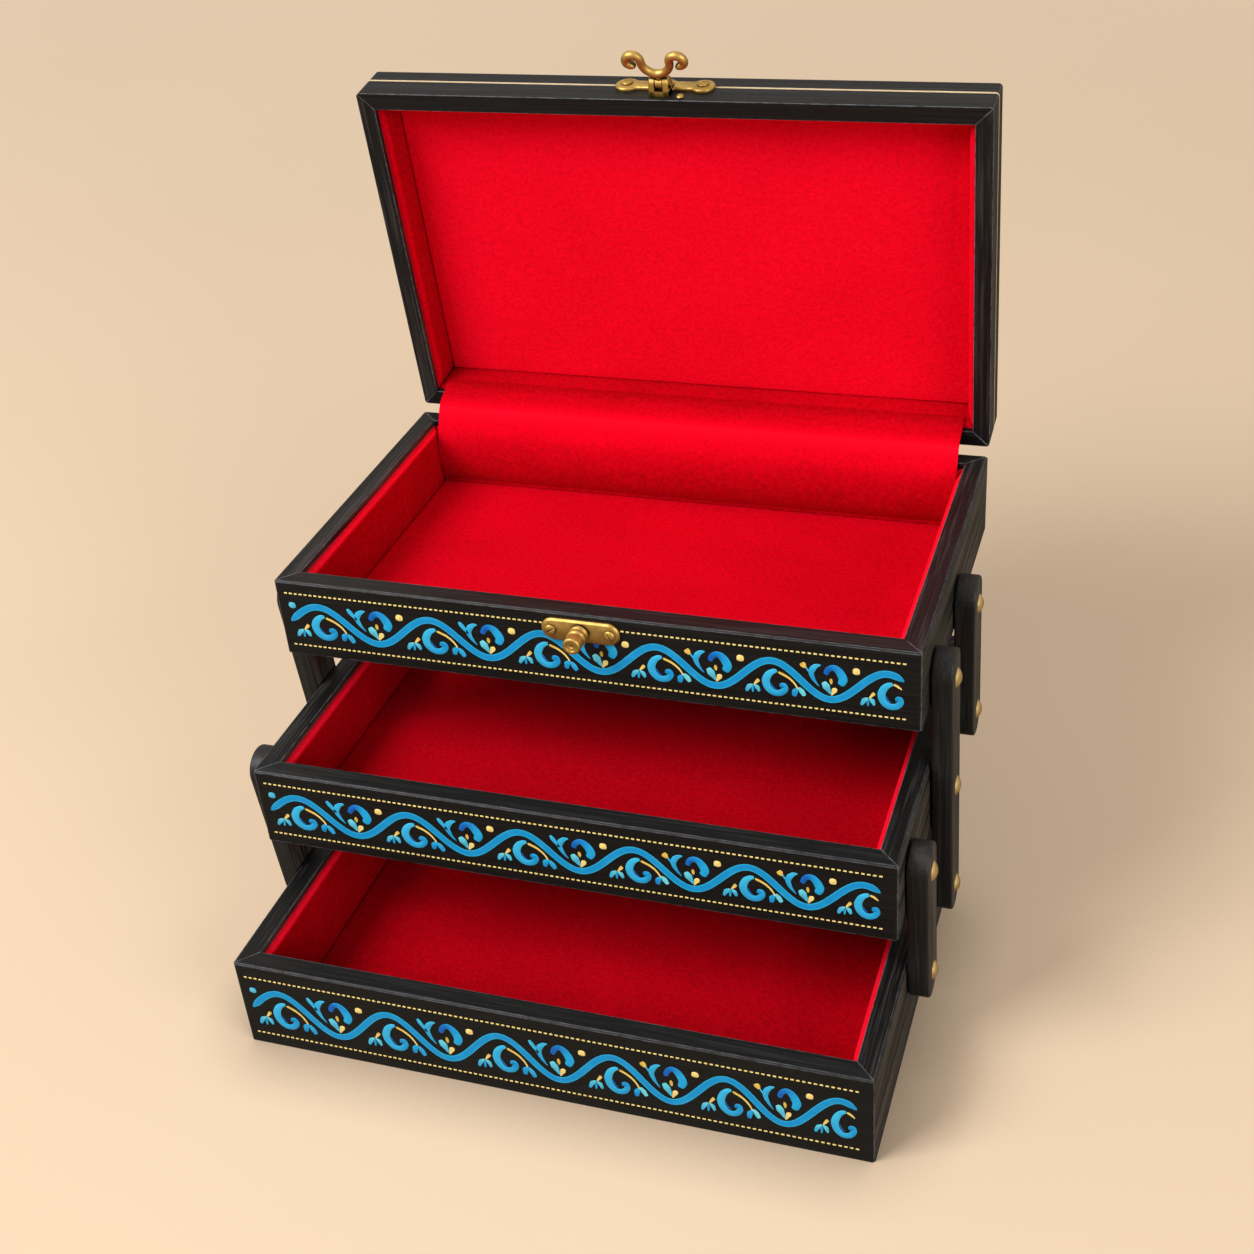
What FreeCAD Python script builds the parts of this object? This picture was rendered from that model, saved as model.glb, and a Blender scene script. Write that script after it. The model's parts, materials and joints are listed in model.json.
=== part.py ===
import FreeCAD, Part
import math
import os

# Three-tier cantilever jewellery box with a hinged lid.
#
# Millimetres. The origin is the centre of the bottom tray's underside, X to the
# right, Y to the back and Z up. The box is modelled standing open: the trays step
# back as they rise on their side arms, and the lid stands up behind the top tray.
# Each body is built where it lies in the closed box and then moved to the open pose.

Vector = FreeCAD.Vector
X_AXIS = Vector(1, 0, 0)
Y_AXIS = Vector(0, 1, 0)
Z_AXIS = Vector(0, 0, 1)

# Trays
box_width = 280.0
box_depth = 164.0
bottom_height = 46.0
middle_height = 38.0
top_height = 37.0
stack_gap = 0.4
board = 9.0
base_panel = 3.0
corner_round = 1.6
arris_bevel = 0.7

# Lid
lid_height = 23.0
lid_board = 7.5
lid_panel = 3.5
lid_rebate = 3.5
lid_open_angle = 82.0
stringing_width = 1.3
stringing_depth = 0.8
stringing_drop = 9.6

# Velvet linings
lining = 2.2
lining_crown = 0.5
lining_drop = 3.0
pad = 3.0
pad_crown = 0.9
pad_play = 0.3

# Velvet strip over the lid hinge
strip_thickness = 1.2
strip_bulge = 1.4
strip_play = 0.3

# Side arms
arm_pitch = 60.0
arm_spacing = 56.0
arm_width = 19.0
arm_thickness = 9.0
arm_overhang = 13.0
stage_setback = 46.0
stage_lift = 31.0
long_arm_setback = 129.0
rivet_below_rim = 7.0

# Rivets of the arms
rivet_radius = 2.0
rivet_grip = 7.0
rivet_head_radius = 4.25
rivet_head_height = 2.0
side_gap = 0.6
side_play = 0.1
turning_clearance = 0.05

# Lid hinges
hinge_spread = 160.0
hinge_width = 27.0
hinge_leaf_height = 15.0
hinge_leaf = 1.2
hinge_barrel_radius = 2.3
hinge_pin_radius = 1.1
hinge_pin_setback = 3.0
hinge_knuckles = 3
knuckle_gap = 0.2

# Catch plate and knob on the top tray
catch_length = 34.0
catch_height = 10.4
catch_thickness = 1.8
catch_drop = 7.4
catch_screw_spacing = 25.6
knob_radius = 4.1
knob_length = 11.0
knob_rib = 2.4
knob_ribs = 2
knob_groove = 0.8
knob_head_radius = 3.85
knob_stem_radius = 1.8

# Latch plate on the lid
latch_length = 44.0
latch_lobe_radius = 5.2
latch_waist = 6.6
latch_centre_radius = 5.6
latch_thickness = 1.8
latch_rise = 12.0
stud_radius = 1.7
stud_height = 1.2
stud_shank_radius = 0.9
stud_side = 9.0
stud_rise = 3.4

# Slotted screws of catch and latch, and the shanks of all that is driven into the wood
shank_sides = 6
screw_head_radius = 2.5
screw_head_height = 1.3
screw_radius = 1.2
screw_length = 6.0
slot_width = 0.6
slot_depth = 0.6

# Horned hasp
hasp_rise = 5.8
hasp_standoff = 5.2
hasp_eye_radius = 2.6
hasp_eye_width = 3.6
hasp_pin_radius = 1.0
ear_radius = 3.0
ear_thickness = 2.4
ear_play = 0.1
horn_radius = 1.8
horn_sides = 4
horn_leg = 0.6
horn_curl_radius = 3.2
horn_curl_end_radius = 2.2
horn_curl_end_turn = 90.0
horn_knob_gap = 0.35
neck_width = 3.2
horn_start = 4.9
hasp_rest_angle = 70.0

# Places that follow from the sizes above
stage_chord = math.hypot(stage_setback, stage_lift)
stage_slope = math.degrees(math.atan2(stage_lift, stage_setback))
half_swing = math.degrees(math.asin(stage_chord / (2 * arm_pitch)))
arm_open_angle = 90.0 + stage_slope - half_swing
arm_closed_angle = 90.0 + stage_slope + half_swing
arm_swing = 2 * half_swing
middle_base = bottom_height + stack_gap
top_base = middle_base + middle_height + stack_gap
lid_base = top_height + stack_gap
front_face = -box_depth / 2
back_face = box_depth / 2
side_face = box_width / 2
middle_move = Vector(0, stage_setback, middle_base + stage_lift)
top_move = Vector(0, 2 * stage_setback, top_base + 2 * stage_lift)
hinge_axis = Vector(0, back_face + hinge_pin_setback, top_height + stack_gap / 2)
catch_centre = Vector(0, front_face, top_height - catch_drop)
latch_centre = Vector(0, front_face, lid_base + latch_rise)
hasp_pivot = Vector(0, front_face - hasp_standoff, lid_base + hasp_rise)


def closed_step():
    """Y and Z from one rivet of an arm to the next while the box is closed."""
    angle = math.radians(arm_closed_angle)
    return arm_pitch * math.cos(angle), arm_pitch * math.sin(angle)


def rivet_places():
    """(y, z) of each rivet in its own tray's frame, front one first."""
    step_y, step_z = closed_step()
    long_bottom = (front_face + long_arm_setback, bottom_height - rivet_below_rim)
    long_middle = (long_bottom[0] + step_y, long_bottom[1] + step_z - middle_base)
    long_top = (long_middle[0] + step_y, long_middle[1] + step_z - (top_base - middle_base))
    ahead = -arm_spacing
    return {
        "bottom": [(long_bottom[0] + ahead, long_bottom[1]), long_bottom],
        "middle": [
            (long_middle[0] + ahead, long_middle[1]),
            long_middle,
            (long_middle[0] + arm_spacing, long_middle[1]),
        ],
        "top": [long_top, (long_top[0] + arm_spacing, long_top[1])],
    }


# Outlines and simple solids


def on_side_plane(a, b):
    """Point of a section across a wall: a is inward (Y), b is up (Z)."""
    return Vector(0, a, b)


def on_front_plane(a, b):
    """Point of an outline drawn on a front face: a is X, b is Z."""
    return Vector(a, 0, b)


def on_floor_plane(a, b):
    """Point of a plan outline: a is X, b is Y."""
    return Vector(a, b, 0)


def outline(corners, lift):
    """Face through corners (a, b, radius), each corner turned with its radius."""
    edges = []
    count = len(corners)
    starts = []
    ends = []
    for index, (a, b, radius) in enumerate(corners):
        here = lift(a, b)
        before = lift(*corners[index - 1][:2]) - here
        after = lift(*corners[(index + 1) % count][:2]) - here
        before.normalize()
        after.normalize()
        if radius == 0:
            starts.append(here)
            ends.append(here)
            continue
        half = before.getAngle(after) / 2
        middle = before + after
        middle.normalize()
        starts.append(here + before * (radius / math.tan(half)))
        ends.append(here + after * (radius / math.tan(half)))
        crest = here + middle * (radius / math.sin(half) - radius)
        edges.append((index, Part.Arc(starts[-1], crest, ends[-1]).toShape()))
    arcs = dict(edges)
    chain = []
    for index in range(count):
        if index in arcs:
            chain.append(arcs[index])
        following = starts[(index + 1) % count]
        if (following - ends[index]).Length > 1e-6:
            chain.append(Part.LineSegment(ends[index], following).toShape())
    return Part.Face(Part.Wire(chain))


def prism(points, low, high):
    """Upright prism over a plan polygon."""
    face = outline([(x, y, 0) for x, y in points], on_floor_plane)
    solid = face.extrude(Z_AXIS * (high - low))
    solid.translate(Z_AXIS * low)
    return solid


def rod(radius, start, end):
    """Round bar from one point to another."""
    along = end - start
    return Part.makeCylinder(radius, along.Length, start, along)


def shank(radius, start, end):
    """Shank of a rivet or screw in the wood: six-sided, because nothing turns on it there."""
    along = end - start
    corners = []
    for index in range(shank_sides + 1):
        angle = 2 * math.pi * index / shank_sides
        corners.append(Vector(radius * math.cos(angle), radius * math.sin(angle), 0))
    bar = Part.Face(Part.makePolygon(corners)).extrude(Z_AXIS * along.Length)
    bar.Placement = FreeCAD.Placement(start, FreeCAD.Rotation(Z_AXIS, along))
    return bar


def turned(section, base, direction):
    """Solid of revolution from (along, radius) points, axis from base along direction."""
    points = [Vector(radius, 0, along) for along, radius in section]
    edges = []
    for start, end in zip(points, points[1:] + points[:1]):
        edges.append(Part.LineSegment(start, end).toShape())
    solid = Part.Face(Part.Wire(edges)).revolve(Vector(), Z_AXIS, 360)
    solid.Placement = FreeCAD.Placement(base, FreeCAD.Rotation(Z_AXIS, direction))
    return solid


def drilled(carrier, fasteners):
    """Carrier with a hole that fits each fastener that enters it."""
    for fastener in fasteners:
        carrier = carrier.cut(fastener)
    return carrier


def rounded_block(height):
    """Block over the whole plan of the box: upright corners rounded, top edges bevelled."""
    block = Part.makeBox(box_width, box_depth, height, Vector(-side_face, front_face, 0))
    upright = [e for e in block.Edges if e.BoundBox.ZLength > height / 2]
    block = block.makeFillet(corner_round, upright)
    rim = [e for e in block.Edges if e.BoundBox.ZMin > height - 1e-3]
    return block.makeChamfer(arris_bevel, rim)


# Walls that meet in mitres

SIDES = {"front": 0.0, "right": 90.0, "back": 180.0, "left": 270.0}


def on_side(solid, side):
    """Move a wall built along X with its outer face at Y = 0 to its side of the box."""
    middles = {
        "front": Vector(0, front_face, 0),
        "right": Vector(side_face, 0, 0),
        "back": Vector(0, back_face, 0),
        "left": Vector(-side_face, 0, 0),
    }
    moved = solid.copy()
    moved.rotate(Vector(), Z_AXIS, SIDES[side])
    moved.translate(middles[side])
    return moved


def side_length(side):
    """Outer length of the wall on one side."""
    return box_width if side in ("front", "back") else box_depth


def mitre_wedge(side, reach, low, high):
    """Space between the two corner mitres of one wall, from outside to reach inside it."""
    half = side_length(side) / 2
    plan = [(-half - 1, -1), (half + 1, -1), (half - reach, reach), (-half + reach, reach)]
    return on_side(prism(plan, low, high), side)


def mitred_run(section, side, reach):
    """Sweep a wall section (inward, up) along one side and mitre both ends."""
    length = side_length(side)
    run = section.extrude(X_AXIS * length)
    run.translate(X_AXIS * (-length / 2))
    box = run.BoundBox
    return on_side(run, side).common(mitre_wedge(side, reach, box.ZMin - 1, box.ZMax + 1))


def tray_boards(height):
    """The four mitred boards and the base panel of a tray, in the tray's own frame."""
    block = rounded_block(height)
    inside = Part.makeBox(
        box_width - 2 * board,
        box_depth - 2 * board,
        height + 2,
        Vector(-side_face + board, front_face + board, -1),
    )
    ring = block.cut(inside)
    boards = {}
    for side in SIDES:
        low = -1 if side == "front" else base_panel
        boards[side] = ring.common(mitre_wedge(side, board + 1, low, height + 1))
    floor = block.common(
        Part.makeBox(box_width, box_depth, base_panel, Vector(-side_face, front_face, 0))
    )
    boards["base"] = floor.cut(mitre_wedge("front", board, -1, base_panel + 1))
    return boards


def lid_boards():
    """The four mitred boards, the top panel and the stringing, in the lid's own frame."""
    block = rounded_block(lid_height)
    opening = lid_board - lid_rebate
    inside = Part.makeBox(
        box_width - 2 * lid_board,
        box_depth - 2 * lid_board,
        lid_height + 2,
        Vector(-side_face + lid_board, front_face + lid_board, -1),
    )
    panel = Part.makeBox(
        box_width - 2 * opening,
        box_depth - 2 * opening,
        lid_panel,
        Vector(-side_face + opening, front_face + opening, lid_height - lid_panel),
    )
    ring = block.cut(inside).cut(panel)
    boards = {}
    strips = []
    middle = lid_height - stringing_drop
    strip = outline(
        [
            (0, middle - stringing_width / 2, 0),
            (stringing_depth, middle - stringing_width / 2, 0),
            (stringing_depth, middle + stringing_width / 2, 0),
            (0, middle + stringing_width / 2, 0),
        ],
        on_side_plane,
    )
    for side in SIDES:
        inlay = mitred_run(strip, side, stringing_depth).common(block)
        bare = ring.common(mitre_wedge(side, lid_board + 1, -1, lid_height + 1))
        boards[side] = bare.cut(inlay)
        strips.append(inlay)
    boards["panel"] = panel
    boards["stringing"] = Part.makeCompound(strips)
    return boards


# Linings


def lining_section(wall, low, high):
    """Section of a padded wall lining: flat on the board, bulged inside, rolled on top."""
    inner = wall + lining
    middle = (low + high) / 2
    shoulder = high - lining
    roll = lining * math.sqrt(0.5)
    edges = [
        Part.LineSegment(Vector(0, wall, low), Vector(0, inner, low)).toShape(),
        Part.Arc(
            Vector(0, inner, low), Vector(0, inner + lining_crown, middle), Vector(0, inner, shoulder)
        ).toShape(),
        Part.Arc(
            Vector(0, inner, shoulder), Vector(0, wall + roll, shoulder + roll), Vector(0, wall, high)
        ).toShape(),
        Part.LineSegment(Vector(0, wall, high), Vector(0, wall, low)).toShape(),
    ]
    return Part.Face(Part.Wire(edges))


def wall_lining(wall, low, high):
    """Four mitred lining panels against walls of the given thickness."""
    section = lining_section(wall, low, high)
    reach = wall + lining + lining_crown + 1
    return Part.makeCompound([mitred_run(section, side, reach) for side in SIDES])


def crowned_profile(length, lift):
    """Face of a pad's cross-section: flat below, crowned above, with soft top corners."""
    half = length / 2
    soft = pad / 2
    edges = [
        Part.LineSegment(lift(-half, 0), lift(half, 0)).toShape(),
        Part.LineSegment(lift(half, 0), lift(half, pad - soft)).toShape(),
        Part.Arc(
            lift(half, pad - soft),
            lift(half - soft * (1 - math.sqrt(0.5)), pad - soft * (1 - math.sqrt(0.5))),
            lift(half - soft, pad),
        ).toShape(),
        Part.Arc(
            lift(half - soft, pad), lift(0, pad + pad_crown), lift(-half + soft, pad)
        ).toShape(),
        Part.Arc(
            lift(-half + soft, pad),
            lift(-half + soft * (1 - math.sqrt(0.5)), pad - soft * (1 - math.sqrt(0.5))),
            lift(-half, pad - soft),
        ).toShape(),
        Part.LineSegment(lift(-half, pad - soft), lift(-half, 0)).toShape(),
    ]
    return Part.Face(Part.Wire(edges))


def crowned_pad(wall):
    """Velvet floor pad that fits between the wall linings, its underside at Z = 0."""
    inset = wall + lining + pad_play
    width = box_width - 2 * inset
    depth = box_depth - 2 * inset
    across = crowned_profile(width, on_front_plane).extrude(Y_AXIS * depth)
    across.translate(Y_AXIS * (-depth / 2))
    along = crowned_profile(depth, on_side_plane).extrude(X_AXIS * width)
    along.translate(X_AXIS * (-width / 2))
    return across.common(along)


# Side arms with their rivets


def arm(rivets, side_sign, place):
    """Wooden arm with round ends and one hole per rivet, standing at its open angle."""
    half = arm_width / 2
    reach = arm_pitch * (rivets - 1)
    tail = half - arm_overhang
    tip = reach + arm_overhang - half
    edges = [
        Part.LineSegment(Vector(0, tail, -half), Vector(0, tip, -half)).toShape(),
        Part.Arc(
            Vector(0, tip, -half), Vector(0, tip + half, 0), Vector(0, tip, half)
        ).toShape(),
        Part.LineSegment(Vector(0, tip, half), Vector(0, tail, half)).toShape(),
        Part.Arc(
            Vector(0, tail, half), Vector(0, tail - half, 0), Vector(0, tail, -half)
        ).toShape(),
    ]
    bar = Part.Face(Part.Wire(edges)).extrude(X_AXIS * arm_thickness)
    for index in range(rivets):
        centre = Vector(-1, arm_pitch * index, 0)
        bar = bar.cut(
            rod(rivet_radius + turning_clearance, centre, centre + X_AXIS * (arm_thickness + 2))
        )
    bar.rotate(Vector(), X_AXIS, arm_open_angle)
    inner = side_face + side_gap
    start = inner if side_sign > 0 else -inner - arm_thickness
    bar.translate(Vector(start, place[0], place[1]))
    return bar


def dome(radius, height, base, direction):
    """Ball cut off above the plane through base, so that its cap has this radius and height."""
    sphere = (radius * radius + height * height) / (2 * height)
    ball = Part.makeSphere(sphere, base + direction * (height - sphere))
    return ball.common(rod(2 * radius, base, base + direction * (2 * height)))


def rivet(side_sign, place):
    """Brass rivet with a domed head, through an arm into the tray's side board."""
    out = side_gap + arm_thickness + side_play
    base = Vector(side_sign * side_face, place[0], place[1])
    direction = X_AXIS * side_sign
    grip = shank(rivet_radius, base - direction * rivet_grip, base)
    pivot = rod(rivet_radius, base, base + direction * out)
    head = dome(rivet_head_radius, rivet_head_height, base + direction * out, direction)
    return grip.fuse(pivot).fuse(head)


# Screws


def slotted_screw(base, direction, slot_along):
    """Slotted wood screw: base is under the head, direction points out of the wood."""
    head = rod(screw_head_radius, base, base + direction * screw_head_height)
    slot = Part.makeBox(2 * screw_head_radius, slot_width, screw_head_height)
    slot.translate(Vector(-screw_head_radius, -slot_width / 2, 0))
    slot.rotate(Vector(), Z_AXIS, slot_along)
    top = base + direction * (screw_head_height - slot_depth)
    slot.Placement = FreeCAD.Placement(top, FreeCAD.Rotation(Z_AXIS, direction)) * slot.Placement
    return head.cut(slot).fuse(shank(screw_radius, base - direction * screw_length, base))


# Lid hinges


def hinge_knuckle(left, length, upward):
    """One knuckle: a barrel on the hinge axis and the web that joins it to its leaf."""
    spot = Vector(left, hinge_axis.y, hinge_axis.z)
    barrel = rod(hinge_barrel_radius, spot, spot + X_AXIS * length)
    low = hinge_axis.z if upward else hinge_axis.z - hinge_barrel_radius
    web = Part.makeBox(length, hinge_pin_setback, hinge_barrel_radius, Vector(left, back_face, low))
    return barrel.fuse(web)


def hinge_leaf_plate(middle_x, upward):
    """One hinge leaf on the back face with its share of the knuckles."""
    low = lid_base if upward else top_height - hinge_leaf_height
    start = middle_x - hinge_width / 2
    leaf = Part.makeBox(hinge_width, hinge_leaf, hinge_leaf_height, Vector(start, back_face, low))
    pitch = hinge_width / hinge_knuckles
    for index in range(hinge_knuckles):
        left = start + index * pitch
        if (index % 2 == 1) == upward:
            leaf = leaf.fuse(
                hinge_knuckle(left + knuckle_gap / 2, pitch - knuckle_gap, upward)
            )
        else:
            spot = Vector(left - knuckle_gap / 2, hinge_axis.y, hinge_axis.z)
            room = rod(
                hinge_barrel_radius + knuckle_gap, spot, spot + X_AXIS * (pitch + knuckle_gap)
            )
            leaf = leaf.cut(room)
    hole_start = Vector(start - hinge_width, hinge_axis.y, hinge_axis.z)
    hole = rod(
        hinge_pin_radius + turning_clearance, hole_start, hole_start + X_AXIS * (3 * hinge_width)
    )
    return leaf.cut(hole).removeSplitter()


def hinge_pin(middle_x):
    """Pin through all the knuckles of one hinge."""
    start = Vector(middle_x - hinge_width / 2, hinge_axis.y, hinge_axis.z)
    return rod(hinge_pin_radius, start, start + X_AXIS * hinge_width)


# Catch on the top tray


def catch_plate(fasteners):
    """Brass plate with round ends behind the catch knob."""
    half = catch_height / 2
    z = catch_centre.z
    straight = catch_length / 2 - half
    edges = [
        Part.LineSegment(Vector(-straight, 0, z - half), Vector(straight, 0, z - half)).toShape(),
        Part.Arc(
            Vector(straight, 0, z - half), Vector(straight + half, 0, z), Vector(straight, 0, z + half)
        ).toShape(),
        Part.LineSegment(Vector(straight, 0, z + half), Vector(-straight, 0, z + half)).toShape(),
        Part.Arc(
            Vector(-straight, 0, z + half), Vector(-straight - half, 0, z), Vector(-straight, 0, z - half)
        ).toShape(),
    ]
    plate = Part.Face(Part.Wire(edges)).extrude(-Y_AXIS * catch_thickness)
    plate.translate(Y_AXIS * front_face)
    return drilled(plate, fasteners)


def catch_knob():
    """Turned knob with ribs and a head, its stem through the plate into the board."""
    core = knob_radius - knob_groove
    section = [(catch_thickness, 0)]
    along = catch_thickness
    for index in range(knob_ribs):
        section += [(along, knob_radius), (along + knob_rib, knob_radius)]
        along += knob_rib
        section += [(along, core), (along + knob_groove, core)]
        along += knob_groove
    tip = catch_thickness + knob_length
    section += [(along, knob_head_radius), (tip, knob_head_radius), (tip, 0)]
    stem_end = catch_centre + Y_AXIS * screw_length
    stem = shank(knob_stem_radius, stem_end, catch_centre - Y_AXIS * catch_thickness)
    return turned(section, catch_centre, -Y_AXIS).fuse(stem)


def catch_screws():
    """Two slotted screws of the catch plate."""
    screws = []
    for side, slot in ((-1, 35.0), (1, 120.0)):
        base = catch_centre + Vector(side * catch_screw_spacing / 2, -catch_thickness, 0)
        screws.append(slotted_screw(base, -Y_AXIS, slot))
    return screws


# Latch on the lid


def latch_lobe_x():
    """X of the screw lobes of the latch plate."""
    return latch_length / 2 - latch_lobe_radius


def latch_plate(fasteners):
    """Cast plate: two screw lobes on a waist, and two ears that hold the hasp's pin."""
    centre = latch_centre
    discs = [
        Part.makeCylinder(
            radius, latch_thickness, centre + Vector(x, 0, 0), -Y_AXIS
        )
        for x, radius in (
            (-latch_lobe_x(), latch_lobe_radius),
            (0, latch_centre_radius),
            (latch_lobe_x(), latch_lobe_radius),
        )
    ]
    bar = Part.makeBox(
        2 * latch_lobe_x(),
        latch_thickness,
        latch_waist,
        centre + Vector(-latch_lobe_x(), -latch_thickness, -latch_waist / 2),
    )
    plate = bar
    for disc in discs:
        plate = plate.fuse(disc)
    ears = latch_ears()
    return drilled(plate.fuse(ears).removeSplitter(), fasteners)


def latch_ears():
    """The two ears and the foot below the plate that carries them."""
    slot = hasp_eye_width + 2 * ear_play
    whole = slot + 2 * ear_thickness
    foot = outline(
        [
            (front_face, hasp_pivot.z - ear_radius, 0),
            (front_face, latch_centre.z + latch_waist / 2, 0),
            (front_face - latch_thickness, latch_centre.z + latch_waist / 2, 0),
            (front_face - latch_thickness, hasp_pivot.z + ear_radius, 0),
            (hasp_pivot.y, hasp_pivot.z + ear_radius, 0),
            (hasp_pivot.y, hasp_pivot.z - ear_radius, 0),
        ],
        on_side_plane,
    ).extrude(X_AXIS * whole)
    foot.translate(X_AXIS * (-whole / 2))
    start = hasp_pivot - X_AXIS * (whole / 2)
    barrel = rod(ear_radius, start, start + X_AXIS * whole)
    block = foot.fuse(barrel)
    room = Part.makeBox(
        slot,
        hasp_standoff - latch_thickness + 2 * ear_radius,
        4 * ear_radius,
        Vector(-slot / 2, hasp_pivot.y - 2 * ear_radius, hasp_pivot.z - 2 * ear_radius),
    )
    hole = rod(hasp_pin_radius, start, start + X_AXIS * whole)
    return block.cut(room).cut(hole).removeSplitter()


def latch_pin():
    """Pin through the ears and the hasp's eye."""
    whole = hasp_eye_width + 2 * ear_play + 2 * ear_thickness
    start = hasp_pivot - X_AXIS * (whole / 2)
    return rod(hasp_pin_radius, start, start + X_AXIS * whole)


def latch_screws():
    """Two slotted screws of the latch plate."""
    screws = []
    for side, slot in ((-1, 20.0), (1, 0.0)):
        base = latch_centre + Vector(side * latch_lobe_x(), -latch_thickness, 0)
        screws.append(slotted_screw(base, -Y_AXIS, slot))
    return screws


def latch_stud():
    """Small brass stud beside the latch, near the lid's rim."""
    base = Vector(stud_side, front_face, lid_base + stud_rise)
    head = rod(stud_radius, base, base - Y_AXIS * stud_height)
    return head.fuse(shank(stud_shank_radius, base, base + Y_AXIS * screw_length))


def horn_section(place, heading):
    """Square section of a horn across its path in the XZ plane."""
    across = Vector(heading.z, 0, -heading.x)
    corners = []
    for index in range(horn_sides):
        angle = 2 * math.pi * (index + 0.5) / horn_sides
        radius = horn_radius / math.cos(math.pi / horn_sides)
        corners.append(place + across * (radius * math.cos(angle)) + Y_AXIS * (radius * math.sin(angle)))
    return Part.Face(Part.makePolygon(corners + corners[:1]))


def horn():
    """Right horn of the hasp: out from the middle, down beside the knob and curled outwards."""
    inner = knob_radius + horn_knob_gap + horn_radius
    place = Vector(0, 0, -horn_start)
    heading = X_AXIS
    bends = [
        (inner, -90.0),
        (horn_curl_radius, 180.0),
        (horn_curl_end_radius, horn_curl_end_turn),
    ]
    pieces = []
    for index, (radius, turn) in enumerate(bends):
        side = 1 if turn > 0 else -1
        centre = place + Vector(-heading.z, 0, heading.x) * (radius * side)
        spin = FreeCAD.Rotation(-Y_AXIS, turn)
        pieces.append(horn_section(place, heading).revolve(centre, -Y_AXIS * side, abs(turn)))
        place = centre + spin.multVec(place - centre)
        heading = spin.multVec(heading)
        if index == 0:
            pieces.append(horn_section(place, heading).extrude(heading * horn_leg))
            place = place + heading * horn_leg
    body = pieces[0]
    for piece in pieces[1:]:
        body = body.fuse(piece)
    return body


def hasp():
    """Hasp with two curled horns that straddle the knob, hanging down from its pivot.

    Built in its own frame: pivot at the origin along X, the horns towards -Z.
    """
    right = horn()
    left = right.mirror(Vector(), X_AXIS)
    half_eye = hasp_eye_width / 2
    eye = rod(hasp_eye_radius, -X_AXIS * half_eye, X_AXIS * half_eye)
    neck_length = horn_start + horn_radius
    neck = Part.makeBox(
        neck_width, 2 * horn_radius, neck_length, Vector(-neck_width / 2, -horn_radius, -neck_length)
    )
    hole = rod(hasp_pin_radius + turning_clearance, -X_AXIS * hasp_eye_width, X_AXIS * hasp_eye_width)
    return right.fuse(left).fuse(eye).fuse(neck).cut(hole).removeSplitter()


# Poses


def lid_pose(solid):
    """Move a solid of the closed lid, built in the top tray's frame, to the open pose."""
    moved = solid.copy()
    moved.rotate(hinge_axis, X_AXIS, -lid_open_angle)
    moved.translate(top_move)
    return moved


def hasp_pose(solid):
    """Move the hasp from its own frame to its rest on the open lid."""
    moved = solid.copy()
    moved.rotate(Vector(), X_AXIS, -hasp_rest_angle)
    moved.translate(hasp_pivot)
    return lid_pose(moved)


def hinge_strip():
    """Velvet strip over both rims, from the tray's inner rim to the lid's inner rim."""
    tray_end = Vector(0, back_face - board, top_height)
    lid_end = Vector(0, back_face - lid_board, lid_base)
    low = tray_end + top_move
    turned_end = Part.Vertex(lid_end)
    turned_end.rotate(hinge_axis, X_AXIS, -lid_open_angle)
    turned_end.translate(top_move)
    high = turned_end.Point
    along = high - low
    out = Vector(0, -along.z, along.y)
    out.normalize()
    low = low + out * strip_play
    high = high + out * strip_play
    crest = (low + high) * 0.5 + out * strip_bulge
    inner = Part.Arc(low, crest, high).toShape()
    outer = Part.Arc(
        low + out * strip_thickness, crest + out * strip_thickness, high + out * strip_thickness
    ).toShape()
    cheek_low = Part.LineSegment(low, low + out * strip_thickness).toShape()
    cheek_high = Part.LineSegment(high, high + out * strip_thickness).toShape()
    face = Part.Face(Part.Wire([inner, cheek_high, outer, cheek_low]))
    width = box_width - 2 * (board + lining + strip_play)
    strip = face.extrude(X_AXIS * width)
    strip.translate(X_AXIS * (-width / 2))
    return strip


# Assembly


def tray(name, height):
    """All nodes of one tray except its fittings, in its own frame."""
    boards = tray_boards(height)
    nodes = {}
    rivets = []
    for side, sign in (("right", 1), ("left", -1)):
        own = [rivet(sign, place) for place in rivet_places()[name]]
        boards[side] = drilled(boards[side], own)
        rivets += own
    nodes[f"{name}_rivets"] = Part.makeCompound(rivets)
    for side in SIDES:
        nodes[f"{name}_{side}_board"] = boards[side]
    nodes[f"{name}_base_panel"] = boards["base"]
    nodes[f"{name}_wall_lining"] = wall_lining(board, base_panel, height - lining_drop)
    floor_pad = crowned_pad(board)
    floor_pad.translate(Z_AXIS * base_panel)
    nodes[f"{name}_floor_pad"] = floor_pad
    return nodes


def moved_nodes(nodes, move):
    """Shift every node to its place in the open box."""
    placed = {}
    for name, shape in nodes.items():
        shape = shape.copy()
        shape.translate(move)
        placed[name] = shape
    return placed


def hinge_leaves(upward):
    """The leaves of both hinges that one board carries."""
    leaves = [hinge_leaf_plate(side * hinge_spread / 2, upward) for side in (-1, 1)]
    return Part.makeCompound(leaves)


def top_fittings(nodes):
    """Add the catch and the tray halves of the hinges to the top tray."""
    screws = catch_screws()
    knob = catch_knob()
    nodes["top_front_board"] = drilled(nodes["top_front_board"], screws + [knob])
    nodes["catch_plate"] = catch_plate(screws + [knob])
    nodes["catch_screws"] = Part.makeCompound(screws)
    nodes["catch_knob"] = knob
    nodes["hinge_tray_leaves"] = hinge_leaves(False)
    nodes["hinge_pins"] = Part.makeCompound([hinge_pin(side * hinge_spread / 2) for side in (-1, 1)])


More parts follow.
